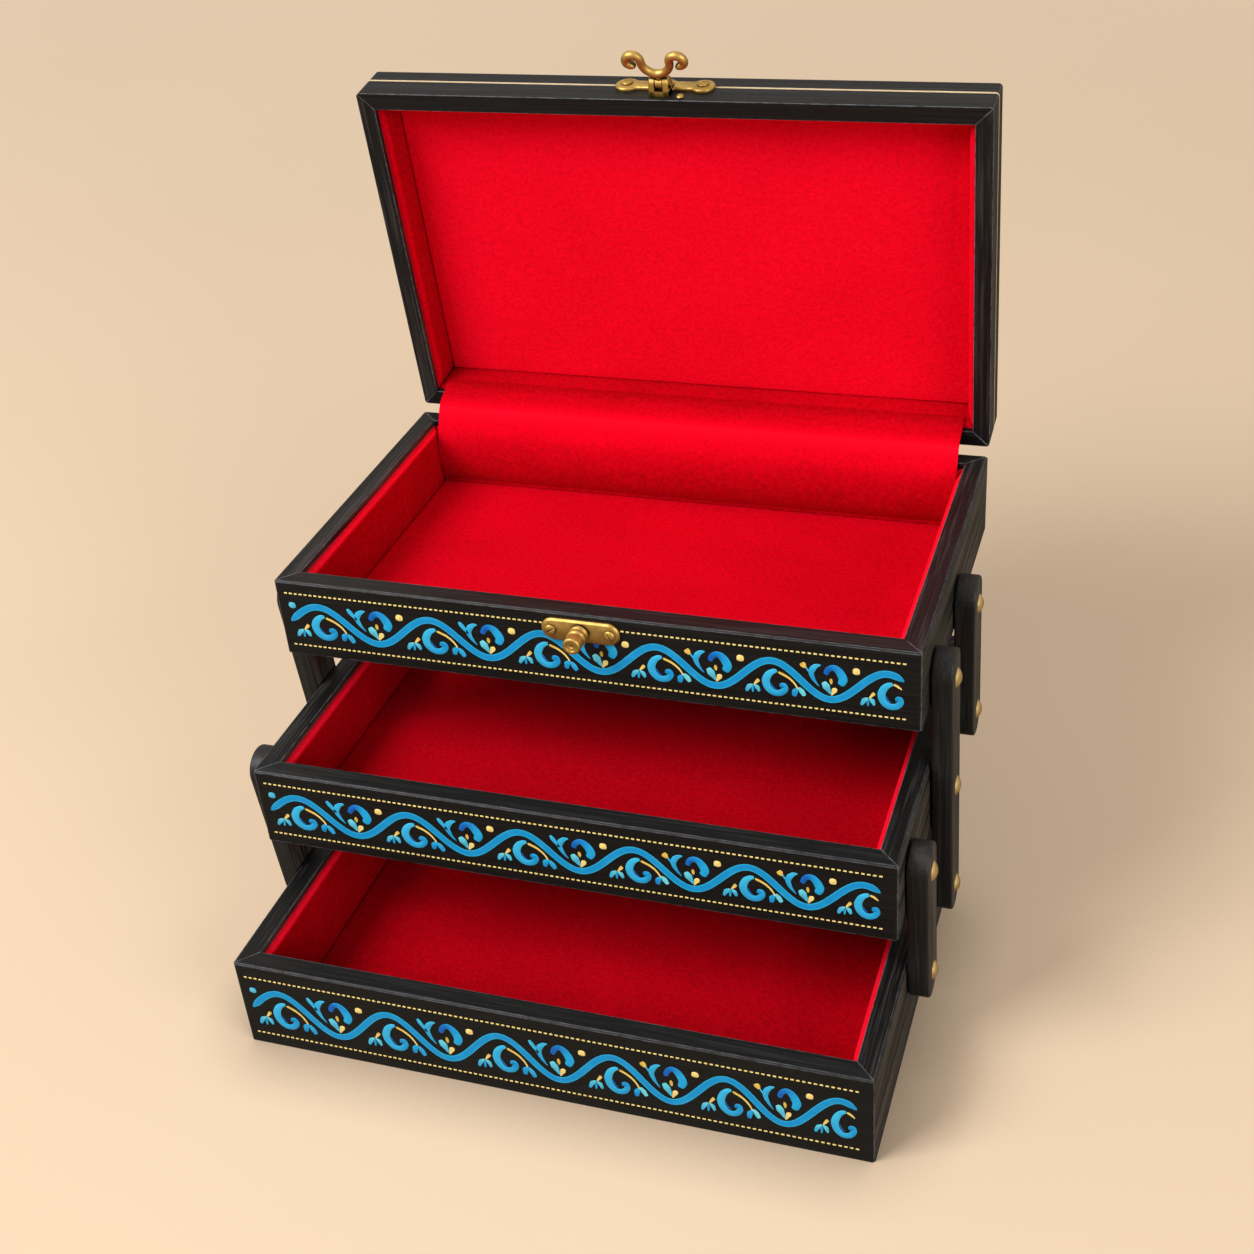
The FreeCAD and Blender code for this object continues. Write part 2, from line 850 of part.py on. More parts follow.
def lid():
    """All nodes of the lid in the closed pose, in the top tray's frame."""
    boards = lid_boards()
    nodes = {}
    for side in SIDES:
        nodes[f"lid_{side}_board"] = boards[side]
    nodes["lid_top_panel"] = boards["panel"]
    nodes["lid_stringing"] = boards["stringing"]
    ceiling = lid_height - lid_panel
    lining_ring = wall_lining(lid_board, 0, ceiling - lining_drop)
    lining_ring.rotate(Vector(), X_AXIS, 180)
    lining_ring.translate(Z_AXIS * ceiling)
    nodes["lid_wall_lining"] = lining_ring
    ceiling_pad = crowned_pad(lid_board)
    ceiling_pad.rotate(Vector(), X_AXIS, 180)
    ceiling_pad.translate(Z_AXIS * ceiling)
    nodes["lid_panel_pad"] = ceiling_pad
    nodes = moved_nodes(nodes, Z_AXIS * lid_base)
    screws = latch_screws()
    stud = latch_stud()
    nodes["lid_front_board"] = drilled(nodes["lid_front_board"], screws + [stud])
    nodes["lid_stringing"] = drilled(nodes["lid_stringing"], screws)
    nodes["latch_plate"] = latch_plate(screws + [stud])
    nodes["latch_screws"] = Part.makeCompound(screws)
    nodes["latch_stud"] = stud
    nodes["latch_pin"] = latch_pin()
    nodes["hinge_lid_leaves"] = hinge_leaves(True)
    return nodes


def arms():
    """The six side arms in the open pose."""
    places = rivet_places()
    nodes = {}
    for side, sign in (("right", 1), ("left", -1)):
        front = places["bottom"][0]
        long = places["bottom"][1]
        rear = places["middle"][2]
        nodes[f"front_arm_{side}"] = arm(2, sign, front)
        nodes[f"long_arm_{side}"] = arm(3, sign, long)
        rear_place = (rear[0] + middle_move.y, rear[1] + middle_move.z)
        nodes[f"rear_arm_{side}"] = arm(2, sign, rear_place)
    return nodes


def build():
    """Every node of the box by name."""
    parts = {}
    for name, height, move in (
        ("bottom", bottom_height, Vector()),
        ("middle", middle_height, middle_move),
        ("top", top_height, top_move),
    ):
        nodes = tray(name, height)
        if name == "top":
            top_fittings(nodes)
        parts.update(moved_nodes(nodes, move))
    parts.update(arms())
    for name, shape in lid().items():
        parts[name] = lid_pose(shape)
    parts["latch_hasp"] = hasp_pose(hasp())
    parts["hinge_strip"] = hinge_strip()
    return parts


def main():
    """Write one STEP file per node."""
    os.makedirs("parts", exist_ok=True)
    parts = build()
    for name, shape in parts.items():
        shape.exportStep(f"parts/{name}.step")
    print(len(parts), "nodes, arms swing", round(arm_swing, 3), "degrees")


if __name__ == "__main__":
    main()
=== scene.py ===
"""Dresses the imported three-tier jewellery box: dark woods, red velvet, brass fittings, painted vines.

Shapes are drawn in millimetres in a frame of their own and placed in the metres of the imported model.
"""

from __future__ import annotations

import json
import logging
import math
from dataclasses import dataclass
from enum import Enum
from functools import cache
from typing import Callable, Sequence

import bmesh
import bpy
from mathutils import Matrix, Vector, noise
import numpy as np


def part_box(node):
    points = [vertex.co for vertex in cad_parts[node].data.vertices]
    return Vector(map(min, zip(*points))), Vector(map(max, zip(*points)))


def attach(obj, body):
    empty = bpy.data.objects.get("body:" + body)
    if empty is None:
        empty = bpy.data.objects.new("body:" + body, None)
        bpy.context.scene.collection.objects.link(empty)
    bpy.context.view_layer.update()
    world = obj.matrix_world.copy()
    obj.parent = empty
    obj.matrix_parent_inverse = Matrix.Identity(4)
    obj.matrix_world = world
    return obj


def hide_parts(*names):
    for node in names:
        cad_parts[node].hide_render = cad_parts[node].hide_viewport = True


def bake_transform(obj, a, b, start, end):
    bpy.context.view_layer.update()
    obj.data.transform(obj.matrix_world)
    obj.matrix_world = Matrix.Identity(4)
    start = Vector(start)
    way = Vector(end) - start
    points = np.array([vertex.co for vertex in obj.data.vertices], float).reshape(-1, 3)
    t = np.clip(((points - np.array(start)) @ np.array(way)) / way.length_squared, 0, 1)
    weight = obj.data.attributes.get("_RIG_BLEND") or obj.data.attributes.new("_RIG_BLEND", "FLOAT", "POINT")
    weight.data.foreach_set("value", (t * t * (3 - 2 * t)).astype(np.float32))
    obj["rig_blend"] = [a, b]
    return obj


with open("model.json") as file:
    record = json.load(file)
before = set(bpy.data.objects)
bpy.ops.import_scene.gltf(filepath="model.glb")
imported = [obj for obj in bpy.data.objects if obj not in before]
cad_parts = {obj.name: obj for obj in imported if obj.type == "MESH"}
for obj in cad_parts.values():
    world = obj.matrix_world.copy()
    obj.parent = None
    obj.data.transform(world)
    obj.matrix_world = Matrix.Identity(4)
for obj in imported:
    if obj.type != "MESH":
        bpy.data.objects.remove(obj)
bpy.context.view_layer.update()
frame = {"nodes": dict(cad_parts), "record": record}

LOG = logging.getLogger("jewellery_box")
MM = 0.001
SHARP = math.radians(38)
BOX_WIDTH = 280.0
BOX_DEPTH = 164.0
TRAY_BOARD = 9.0
LINING = 3.0
Mesh = bpy.types.Mesh
Pair = tuple[float, float]
Point = tuple[float, float, float]
Colour = tuple[float, float, float]


# Node trees


def _operator(operation: str, swapped: bool = False) -> Callable[[Value, Value | float], Value]:
    """A method for a Python operator: one Math node on a value and the other operand.

    Args:
        operation: The Math node's operation.
        swapped: The value stands behind the operator.

    Returns:
        The method.
    """

    def method(self: Value, other: Value | float) -> Value:
        """Add the node."""
        pair = (other, self) if swapped else (self, other)
        return self.pen.node("ShaderNodeMath", {"operation": operation}, dict(enumerate(pair)))

    return method


class Value:
    """An output socket whose Python operators add Math nodes to its tree."""

    def __init__(self, pen: Pen, socket: bpy.types.NodeSocket) -> None:
        """Wrap one output socket of the pen's tree."""
        self.pen = pen
        self.socket = socket

    __add__, __radd__ = _operator("ADD"), _operator("ADD", swapped=True)
    __sub__, __rsub__ = _operator("SUBTRACT"), _operator("SUBTRACT", swapped=True)
    __mul__, __rmul__ = _operator("MULTIPLY"), _operator("MULTIPLY", swapped=True)
    __truediv__, __pow__ = _operator("DIVIDE"), _operator("POWER")

    def clipped(self, low: float = 0.0, high: float = 1.0) -> Value:
        """The part of the value from low to high, stretched to run from 0 to 1."""
        return self.pen.node("ShaderNodeMapRange", {"clamp": True}, {0: self, 1: low, 2: high})


class Pen:
    """Writes the nodes of one tree."""

    def __init__(self, tree: bpy.types.NodeTree) -> None:
        """Start with the tree to write into."""
        self.tree = tree

    def node(self, kind: str, settings: dict | None = None, inputs: dict | None = None,
             output: int | str = 0) -> Value:
        """Add one node.

        Args:
            kind: The node's type.
            settings: Properties of the node; "stops" fills a colour ramp.
            inputs: Numbers, colours or Values for its sockets, by name or index.
            output: The output socket to return.

        Returns:
            That output socket as a Value.
        """
        node = self.tree.nodes.new(kind)
        for key, value in (settings or {}).items():
            if key == "stops":
                self._fill_ramp(node.color_ramp, value)
            else:
                setattr(node, key, value)
        for key, value in (inputs or {}).items():
            if isinstance(value, Value):
                self.tree.links.new(value.socket, node.inputs[key])
            else:
                node.inputs[key].default_value = value
        return Value(self, node.outputs[output])

    @staticmethod
    def _fill_ramp(ramp: bpy.types.ColorRamp, stops: Sequence[tuple[float, Colour]]) -> None:
        """Give a colour ramp its stops.

        Args:
            ramp: The ramp.
            stops: Place and colour of each stop.
        """
        while len(ramp.elements) < len(stops):
            ramp.elements.new(0.5)
        for element, (place, colour) in zip(ramp.elements, stops):
            element.position = place
            element.color = (*colour, 1.0)

    def blend(self, factor: Value | float, first: Value | Colour, second: Value | Colour) -> Value:
        """Mix of two colours.

        Args:
            factor: Share of the second colour.
            first: Colour at 0.
            second: Colour at 1.

        Returns:
            The mix.
        """
        plain = [c if isinstance(c, Value) else (*c, 1.0) for c in (first, second)]
        return self.node("ShaderNodeMix", {"data_type": "RGBA"},
                         {"Factor": factor, 6: plain[0], 7: plain[1]}, 2)

    def shaded(self, colour: Value, strength: Value) -> Value:
        """A colour with its brightness multiplied by a value.

        Args:
            colour: The colour.
            strength: What it is multiplied by.

        Returns:
            The darker or lighter colour.
        """
        grey = self.node("ShaderNodeCombineColor", None, {0: strength, 1: strength, 2: strength})
        return self.node("ShaderNodeMix", {"data_type": "RGBA", "blend_type": "MULTIPLY"},
                         {"Factor": 1.0, 6: colour, 7: grey}, 2)

    def place(self, turn: Point = (0, 0, 0), scale: Point = (1, 1, 1)) -> Value:
        """Object coordinates, turned and scaled.

        Args:
            turn: Turn about X, Y and Z in radians.
            scale: Factor along each turned axis.

        Returns:
            The coordinates.
        """
        spot = self.node("ShaderNodeTexCoord", None, None, "Object")
        turned = self.node("ShaderNodeMapping", None, {"Vector": spot, "Rotation": turn})
        return self.node("ShaderNodeMapping", None, {"Vector": turned, "Scale": scale})

    def speckle(self, scale: float | Point, detail: float = 2.0, rough: float = 0.5,
                turn: Point = (0, 0, 0)) -> Value:
        """Noise from 0 to 1; three scales stretch it along turned axes.

        Args:
            scale: Fineness, or one for each axis.
            detail: Octaves.
            rough: Strength of the finer octaves.
            turn: Turn of the axes in radians.

        Returns:
            The noise.
        """
        stretch, fineness = (scale, 1.0) if isinstance(scale, tuple) else ((1, 1, 1), scale)
        return self.node("ShaderNodeTexNoise", None, {
            "Vector": self.place(turn, stretch), "Scale": fineness, "Detail": detail, "Roughness": rough,
        })

    def vector(self, x: Value | float = 0.0, y: Value | float = 0.0, z: Value | float = 0.0) -> Value:
        """A vector from its parts."""
        return self.node("ShaderNodeCombineXYZ", None, {0: x, 1: y, 2: z})

    def part(self, vector: Value, axis: int) -> Value:
        """One part of a vector."""
        return self.node("ShaderNodeSeparateXYZ", None, {0: vector}, axis)

    def bump(self, height: Value, strength: float, distance: float, normal: Value | None = None) -> Value:
        """Normal that leans with a height, from the face's own normal or from a given one."""
        inputs = {"Strength": strength, "Distance": distance, "Height": height}
        return self.node("ShaderNodeBump", None, {**inputs, "Normal": normal} if normal else inputs)

    def attribute(self, name: str) -> Value:
        """A number that is stored on the mesh."""
        return self.node("ShaderNodeAttribute", {"attribute_name": name}, None, "Fac")

    def openness(self, distance: float, samples: int) -> Value:
        """How free a place is of surfaces within a distance."""
        return self.node("ShaderNodeAmbientOcclusion", {"samples": samples}, {"Distance": distance}, "AO")

    def ray(self, question: str) -> Value:
        """Answer of the Light Path node to one of its questions."""
        return self.node("ShaderNodeLightPath", None, None, question)


class Surface(Pen):
    """Writes a material that has one Principled shader."""

    def __init__(self, name: str, plain: dict) -> None:
        """Make the material and set what is the same all over it.

        Args:
            name: The material's name.
            plain: Values by the shader's sockets.
        """
        self.material = bpy.data.materials.new(name)
        self.material.use_nodes = True
        super().__init__(self.material.node_tree)
        self.shader = self.tree.nodes["Principled BSDF"]
        for key, value in plain.items():
            self.shader.inputs[key].default_value = value

    def finished(self, links: dict[str, Value]) -> bpy.types.Material:
        """Link values to the shader's sockets and hand over the material.

        Args:
            links: Values by the shader's sockets.

        Returns:
            The material.
        """
        for key, value in links.items():
            self.tree.links.new(value.socket, self.shader.inputs[key])
        return self.material


# Finishes


class Grain(Enum):
    """Turn, in degrees about X, Y and Z, that lays a board's grain along X."""

    ACROSS = (0.0, 0.0, 0.0)
    INWARD = (0.0, 0.0, 90.0)
    LID_INWARD = (82.0, 0.0, 90.0)
    ARM = (-96.44, 0.0, 90.0)


@dataclass(frozen=True)
class StainedWood:
    """Black-stained open-grained wood under a thin satin lacquer, with paler edges that are partly rubbed
    and partly painted highlight.
    """

    name: str
    grain: Grain
    pore: Colour = (0.0012, 0.0011, 0.0012)
    ground: Colour = (0.0036, 0.0033, 0.0033)
    ridge: Colour = (0.0105, 0.0092, 0.0088)
    # Edge colour: partly rubbed finish, partly a painted highlight along the arrises.
    worn_and_highlight: Colour = (0.24, 0.25, 0.28)
    brown: Colour = (0.072, 0.056, 0.042)
    sheen: float = 0.24
    rubbed: float = 0.0
    lacquered: float = 0.0
    relief: float = 0.4
    wear_and_highlight: float = 0.75
    gloss: float = 0.36

    @staticmethod
    def _facing(pen: Pen, normal: Value, axis: int) -> Value:
        """How squarely a face looks along an axis, forwards or backwards."""
        part = pen.part(normal, axis)
        return (part * part).clipped(0.6, 0.95)

    def material(self) -> bpy.types.Material:
        """Fine pores and broad streaks along the grain, and paler edges that are partly rubbed and partly
        painted highlight.

        Returns:
            The material.
        """
        pen = Surface(self.name, {"Specular IOR Level": self.sheen, "Coat Weight": 0.03,
                                  "Coat Roughness": 0.2})
        turn = tuple(math.radians(angle) for angle in self.grain.value)
        fine = pen.speckle((26, 760, 760), 4.0, 0.6, turn)
        broad = pen.speckle((9, 210, 210), 3.0, 0.5, turn)
        mottle = pen.speckle(240.0, 3.0, 0.6)
        streak = fine * 0.62 + broad * 0.38
        stops = [(0.38, self.pore), (0.5, self.ground), (0.62, self.ridge)]
        colour = pen.node("ShaderNodeValToRGB", {"stops": stops}, {"Fac": streak})
        flat = pen.node("ShaderNodeNewGeometry", None, None, "Normal")
        if self.rubbed:
            outer = self._facing(pen, flat, 0) * self.rubbed
            colour = pen.blend(outer * streak.clipped(0.42, 0.62), colour, self.brown)
        if self.lacquered:
            own = pen.node("ShaderNodeTexCoord", None, None, "Normal")
            colour = pen.blend(self._facing(pen, own, 1) * self.lacquered, colour, self.pore)
        rounded = pen.node("ShaderNodeBevel", {"samples": 6}, {"Radius": 0.0007})
        facing = pen.node("ShaderNodeVectorMath", {"operation": "DOT_PRODUCT"},
                          {0: rounded, 1: flat}, "Value")
        # Paler edges where the bevelled normal turns away: partly rubbed finish, partly a painted highlight.
        edge = (1.0 - facing).clipped(0.01, 0.09) * mottle.clipped(0.28, 0.6) * self.wear_and_highlight
        bump = pen.bump(streak, self.relief, 0.0011, rounded)
        return pen.finished({
            "Base Color": pen.blend(edge, colour, self.worn_and_highlight),
            "Roughness": self.gloss + fine * 0.3 + mottle * 0.08,
            "Normal": bump,
        })


@dataclass(frozen=True)
class Velvet:
    """Short-piled red velvet: even colour with a fine pile speckle and soft brushed patches, with light and
    shade painted into its colour.
    """

    name: str
    # deep and bright span the pile speckle and also the painted shade and light; crest is a painted
    # highlight colour.
    deep: Colour = (0.34, 0.0, 0.003)
    bright: Colour = (1.0, 0.0, 0.017)
    crest: Colour = (1.0, 0.012, 0.035)

    def material(self) -> bpy.types.Material:
        """Pile speckle over broad brushed patches; a mesh attribute paints light and shade into the pile
        colour and a highlight in the crest colour.

        Returns:
            The material.
        """
        pen = Surface(self.name, {"Specular IOR Level": 0.03, "Sheen Weight": 0.12, "Sheen Roughness": 0.4,
                                  "Sheen Tint": (1.0, 0.02, 0.08, 1.0)})
        nap = pen.speckle(1500.0, 3.0, 0.7)
        tuft = pen.speckle(560.0)
        brushed = pen.speckle((14, 26, 20), turn=(0.5, 0.3, 0.2))
        shade = nap * 0.4 + tuft * 0.5 + brushed * 0.3
        bump = pen.bump(nap * 0.6 + tuft, 0.6, 0.0006)
        # Painted light from a mesh attribute: negative values paint shade, positive values paint light and
        # blend in the crest colour as a painted highlight.
        edge = pen.attribute("nap")
        share = (shade.clipped(0.3, 0.85) - 0.55) * 0.6 + 0.55 + edge * 0.8
        pile = pen.blend(share.clipped(), self.deep, self.bright)
        return pen.finished({
            "Base Color": pen.blend((edge * (0.25 + tuft * 0.7)).clipped(), pile, self.crest),
            "Roughness": 0.78 + nap * 0.2,
            "Normal": bump,
        })


@dataclass(frozen=True)
class AgedBrass:
    """Cast or turned brass, rubbed bright outside and brown in its recesses."""

    name: str
    bright: Colour = (0.61, 0.395, 0.115)
    dull: Colour = (0.37, 0.22, 0.055)
    grime: Colour = (0.05, 0.028, 0.01)
    gloss: float = 0.37

    def material(self) -> bpy.types.Material:
        """Cloudy tarnish and fine scratches, with grime where surfaces meet.

        Returns:
            The material.
        """
        pen = Surface(self.name, {"Metallic": 1.0})
        cloud = pen.speckle(260.0, 4.0, 0.6)
        scratch = pen.speckle((300, 2600, 2600), turn=(0.4, 0.7, 0.9))
        hollow = 1.0 - pen.openness(0.003, 6)
        colour = pen.blend(cloud.clipped(0.35, 0.7), self.bright, self.dull)
        bump = pen.bump(cloud + scratch * 0.3, 0.22, 0.0002)
        return pen.finished({
            "Base Color": pen.blend(hollow.clipped(0.1, 0.62), colour, self.grime),
            "Roughness": self.gloss + cloud * 0.16 + scratch * 0.08,
            "Normal": bump,
        })


@dataclass(frozen=True)
class Paint:
    """Brushed enamel on the lacquer: two tones that run into each other along a stroke."""

    name: str
    tone: Colour
    second: Colour
    spread: float = 160.0
    gloss: float = 0.42

    def material(self) -> bpy.types.Material:
        """Uneven coats that go from one tone to the other as the attribute "tone" says.

        Returns:
            The material.
        """
        pen = Surface(self.name, {"Specular IOR Level": 0.25})
        coat = pen.speckle(self.spread, 3.0, 0.55)
        fine = pen.speckle(1400.0)
        bump = pen.bump(coat + fine * 0.4, 0.15, 0.0001)
        share = (pen.attribute("tone") + (coat * 0.8 + fine * 0.2 - 0.5) * 1.2).clipped()
        return pen.finished({
            "Base Color": pen.blend(share, self.tone, self.second),
            "Roughness": self.gloss + fine * 0.15,
            "Normal": bump,
        })


@dataclass(frozen=True)
class PaleWoodLine:
    """Inlaid strip of pale wood under the lacquer."""

    name: str
    light: Colour = (0.84, 0.64, 0.38)
    dark: Colour = (0.60, 0.42, 0.20)

    def material(self) -> bpy.types.Material:
        """Short streaks of two pale tones.

        Returns:
            The material.
        """
        pen = Surface(self.name, {"Specular IOR Level": 0.4})
        streak = pen.speckle((120, 900, 900), 4.0, 0.6)
        return pen.finished({
            "Base Color": pen.blend(streak.clipped(0.35, 0.7), self.light, self.dark),
            "Roughness": 0.36 + streak * 0.2,
        })


@dataclass(frozen=True)
class SandyFloor:
    """Plain pale ground with a barely visible speckle."""

    name: str
    bounced: Colour = (0.37, 0.295, 0.21)
    seen: Colour = (0.64, 0.49, 0.345)
    glow: Colour = (0.19, 0.14, 0.095)
    haze: Colour = (0.41, 0.325, 0.24)

    def material(self) -> bpy.types.Material:
        """Matt surface, paler to the camera and far away, with a painted shadow close to what stands on it.

        Returns:
            The material.
        """
        pen = Surface(self.name, {"Specular IOR Level": 0.2, "Roughness": 0.85, "Emission Strength": 1.0})
        grit = pen.speckle(900.0, 3.0, 0.6)
        drift = pen.speckle(1.6)
        shade = 0.9 + grit * 0.08 + drift * 0.12
        camera = pen.ray("Is Camera Ray")
        # Painted shadow for the camera only: darker where other surfaces are near.
        painted_contact_shadow = 1.0 - (1.0 - pen.openness(0.035, 8)) * camera * 0.75
        away = pen.node("ShaderNodeVectorMath", {"operation": "LENGTH"}, {0: pen.place()}, "Value")
        far_light = pen.blend(away.clipped(0.45, 2.2), self.glow, self.haze)
        own_light = pen.blend(camera, (0.0, 0.0, 0.0), far_light)
        return pen.finished({
            "Base Color": pen.shaded(pen.blend(camera, self.bounced, self.seen), shade * painted_contact_shadow),
            "Emission Color": pen.shaded(own_light, painted_contact_shadow),
        })


class Finish(Enum):
    """Every finish of the box and its ground."""

    BOARD = StainedWood("black_wood_across", Grain.ACROSS, ridge=(0.015, 0.0145, 0.0145),
                        lacquered=0.8, relief=0.5)
    SIDE_BOARD = StainedWood("black_wood_inward", Grain.INWARD, ridge=(0.036, 0.034, 0.032),
                             rubbed=1.0, relief=0.95)
    LID_SIDE_BOARD = StainedWood("black_wood_lid_side", Grain.LID_INWARD, ridge=(0.026, 0.024, 0.022),
                                 rubbed=0.7, relief=0.7)
    ARM = StainedWood("black_wood_arm", Grain.ARM, ridge=(0.018, 0.016, 0.015),
                      sheen=0.42, rubbed=1.0, relief=0.3)
    VELVET = Velvet("red_velvet")
    BRASS = AgedBrass("aged_brass")
    # Lighter and glossier brass for the rivets; the lighter colour is painted light that makes up for the
    # dim light on the right side.
    RIVET_BRASS = AgedBrass("rivet_brass", (0.88, 0.66, 0.30), (0.66, 0.46, 0.18), gloss=0.26)
    STRINGING = PaleWoodLine("pale_stringing")
    BLUE = Paint("vine_blue", (0.004, 0.28, 0.62), (0.045, 0.50, 0.80))
    PALE_RIM = Paint("vine_edge_blue", (0.02, 0.41, 0.68), (0.07, 0.57, 0.84))
    DEEP_BLUE = Paint("flower_blue", (0.002, 0.12, 0.50), (0.012, 0.39, 0.73))
    PALE_BLUE = Paint("petal_pale", (0.16, 0.67, 0.74), (0.006, 0.33, 0.64))
    GOLD = Paint("gold_paint", (0.94, 0.75, 0.27), (0.76, 0.48, 0.07), 700.0)
    FLOOR = SandyFloor("sandy_floor")

    def material(self) -> bpy.types.Material:
        """The finish's material, made on first use."""
        return bpy.data.materials.get(self.value.name) or self.value.material()


# Places and paths

UP = Vector((0, 0, 1))
AS_DRAWN = Matrix()


def shift(x: float = 0.0, y: float = 0.0, z: float = 0.0) -> Matrix:
    """Move by three lengths."""
    return Matrix.Translation((x, y, z))


def spin(degrees: float, axis: str) -> Matrix:
    """Turn about an axis."""
    return Matrix.Rotation(math.radians(degrees), 4, axis)


UPRIGHT = spin(90, "X")


def corners(node: str) -> tuple[Vector, Vector]:
    """Lowest and highest corner of a CAD node's box in millimetres."""
    low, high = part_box(node)
    return Vector(low) / MM, Vector(high) / MM


def joint_row(name: str) -> dict:
    """The record's row of one joint."""
    return next(row for row in frame["record"]["behaviour"]["joints"] if row["name"] == name)


def joint_place(name: str) -> Vector:
    """Place of a joint in millimetres."""
    return Vector(joint_row(name)["pos_m"]) / MM


def unit(value: float) -> float:
    """A value held between 0 and 1."""
    return min(1.0, max(0.0, value))


def rounded(share: float) -> float:
    """Height of a round edge, from 0 at its foot to 1 where its whole width is passed."""
    return math.sqrt(max(0.0, 1 - (1 - min(share, 1.0)) ** 2))


def sweep(degrees: float, steps: int) -> list[float]:
    """Angles in radians from 0 up to a number of degrees, both ends included."""
    return [math.radians(degrees) * k / steps for k in range(steps + 1)]


def heading(path: Sequence[Vector], index: int) -> Vector:
    """Direction of a path at one of its points."""
    return (path[min(index + 1, len(path) - 1)] - path[max(index - 1, 0)]).normalized()


def smooth_path(points: Sequence[Vector], steps: int) -> list[Vector]:
    """Catmull-Rom line through the points.

    Args:
        points: Places it passes.
        steps: Pieces between one point and the next.

    Returns:
        Points along the line.
    """
    path = []
    last = len(points) - 1
    for i in range(last):
        a, b, c, d = (points[max(i - 1, 0)], points[i], points[i + 1], points[min(i + 2, last)])
        for k in range(steps):
            t = k / steps
            path.append(0.5 * (2 * b + (c - a) * t + (2 * a - 5 * b + 4 * c - d) * t * t
                               + (3 * b - a - 3 * c + d) * t * t * t))
    return path + [points[-1]]


def capsule(low: float, high: float, radius: float, steps: int = 32) -> Callable[[float], list[Vector]]:
    """Outline with round ends about two places on X, drawn in by a distance.

    Args:
        low: Centre of the end at low X.
        high: Centre of the other end.
        radius: Radius of both ends.
        steps: Pieces in each round end.

    Returns:
        The outline by the distance drawn in.
    """

    def outline(inset: float) -> list[Vector]:
        """Points round it."""
        reach, right = radius - inset, math.pi / 2
        return [Vector((centre + reach * math.cos(start + angle), reach * math.sin(start + angle), 0))
                for centre, start in ((high, -right), (low, right)) for angle in sweep(180, steps)]

    return outline


# Meshes


def put(name: str, data: bpy.types.ID) -> bpy.types.Object:
    """A new object in the scene.

    Args:
        name: The object's name.
        data: Its mesh, lamp or camera.

    Returns:
        The object.
    """
    thing = bpy.data.objects.new(name, data)
    bpy.context.scene.collection.objects.link(thing)
    return thing


def baked(thing: bpy.types.Object) -> Mesh:
    """The mesh that an object's modifiers make; the object goes.

    Args:
        thing: The object.

    Returns:
        The plain mesh.
    """
    bpy.context.view_layer.update()
    data = bpy.data.meshes.new_from_object(thing.evaluated_get(bpy.context.evaluated_depsgraph_get()))
    bpy.data.objects.remove(thing)
    return data


def smoothed(data: Mesh) -> Mesh:
    """The same mesh, shaded smooth between its sharp edges.

    Args:
        data: The mesh.

    Returns:
        The mesh.
    """
    for polygon in data.polygons:
        polygon.use_smooth = True
    data.set_sharp_from_angle(angle=SHARP)
    return data


def joined(parts: Sequence[Mesh]) -> Mesh:
    """One mesh from several.

    Args:
        parts: The meshes.

    Returns:
        The joined mesh.
    """
    whole = bmesh.new()
    for part in parts:
        whole.from_mesh(part)
    data = bpy.data.meshes.new("joined")
    whole.to_mesh(data)
    whole.free()
    return smoothed(data)


def seated(data: Mesh, seat: Matrix) -> Mesh:
    """The same mesh in metres, moved by a seat in millimetres."""
    data.transform(Matrix.Scale(MM, 4) @ seat @ Matrix.Scale(1 / MM, 4))
    return data


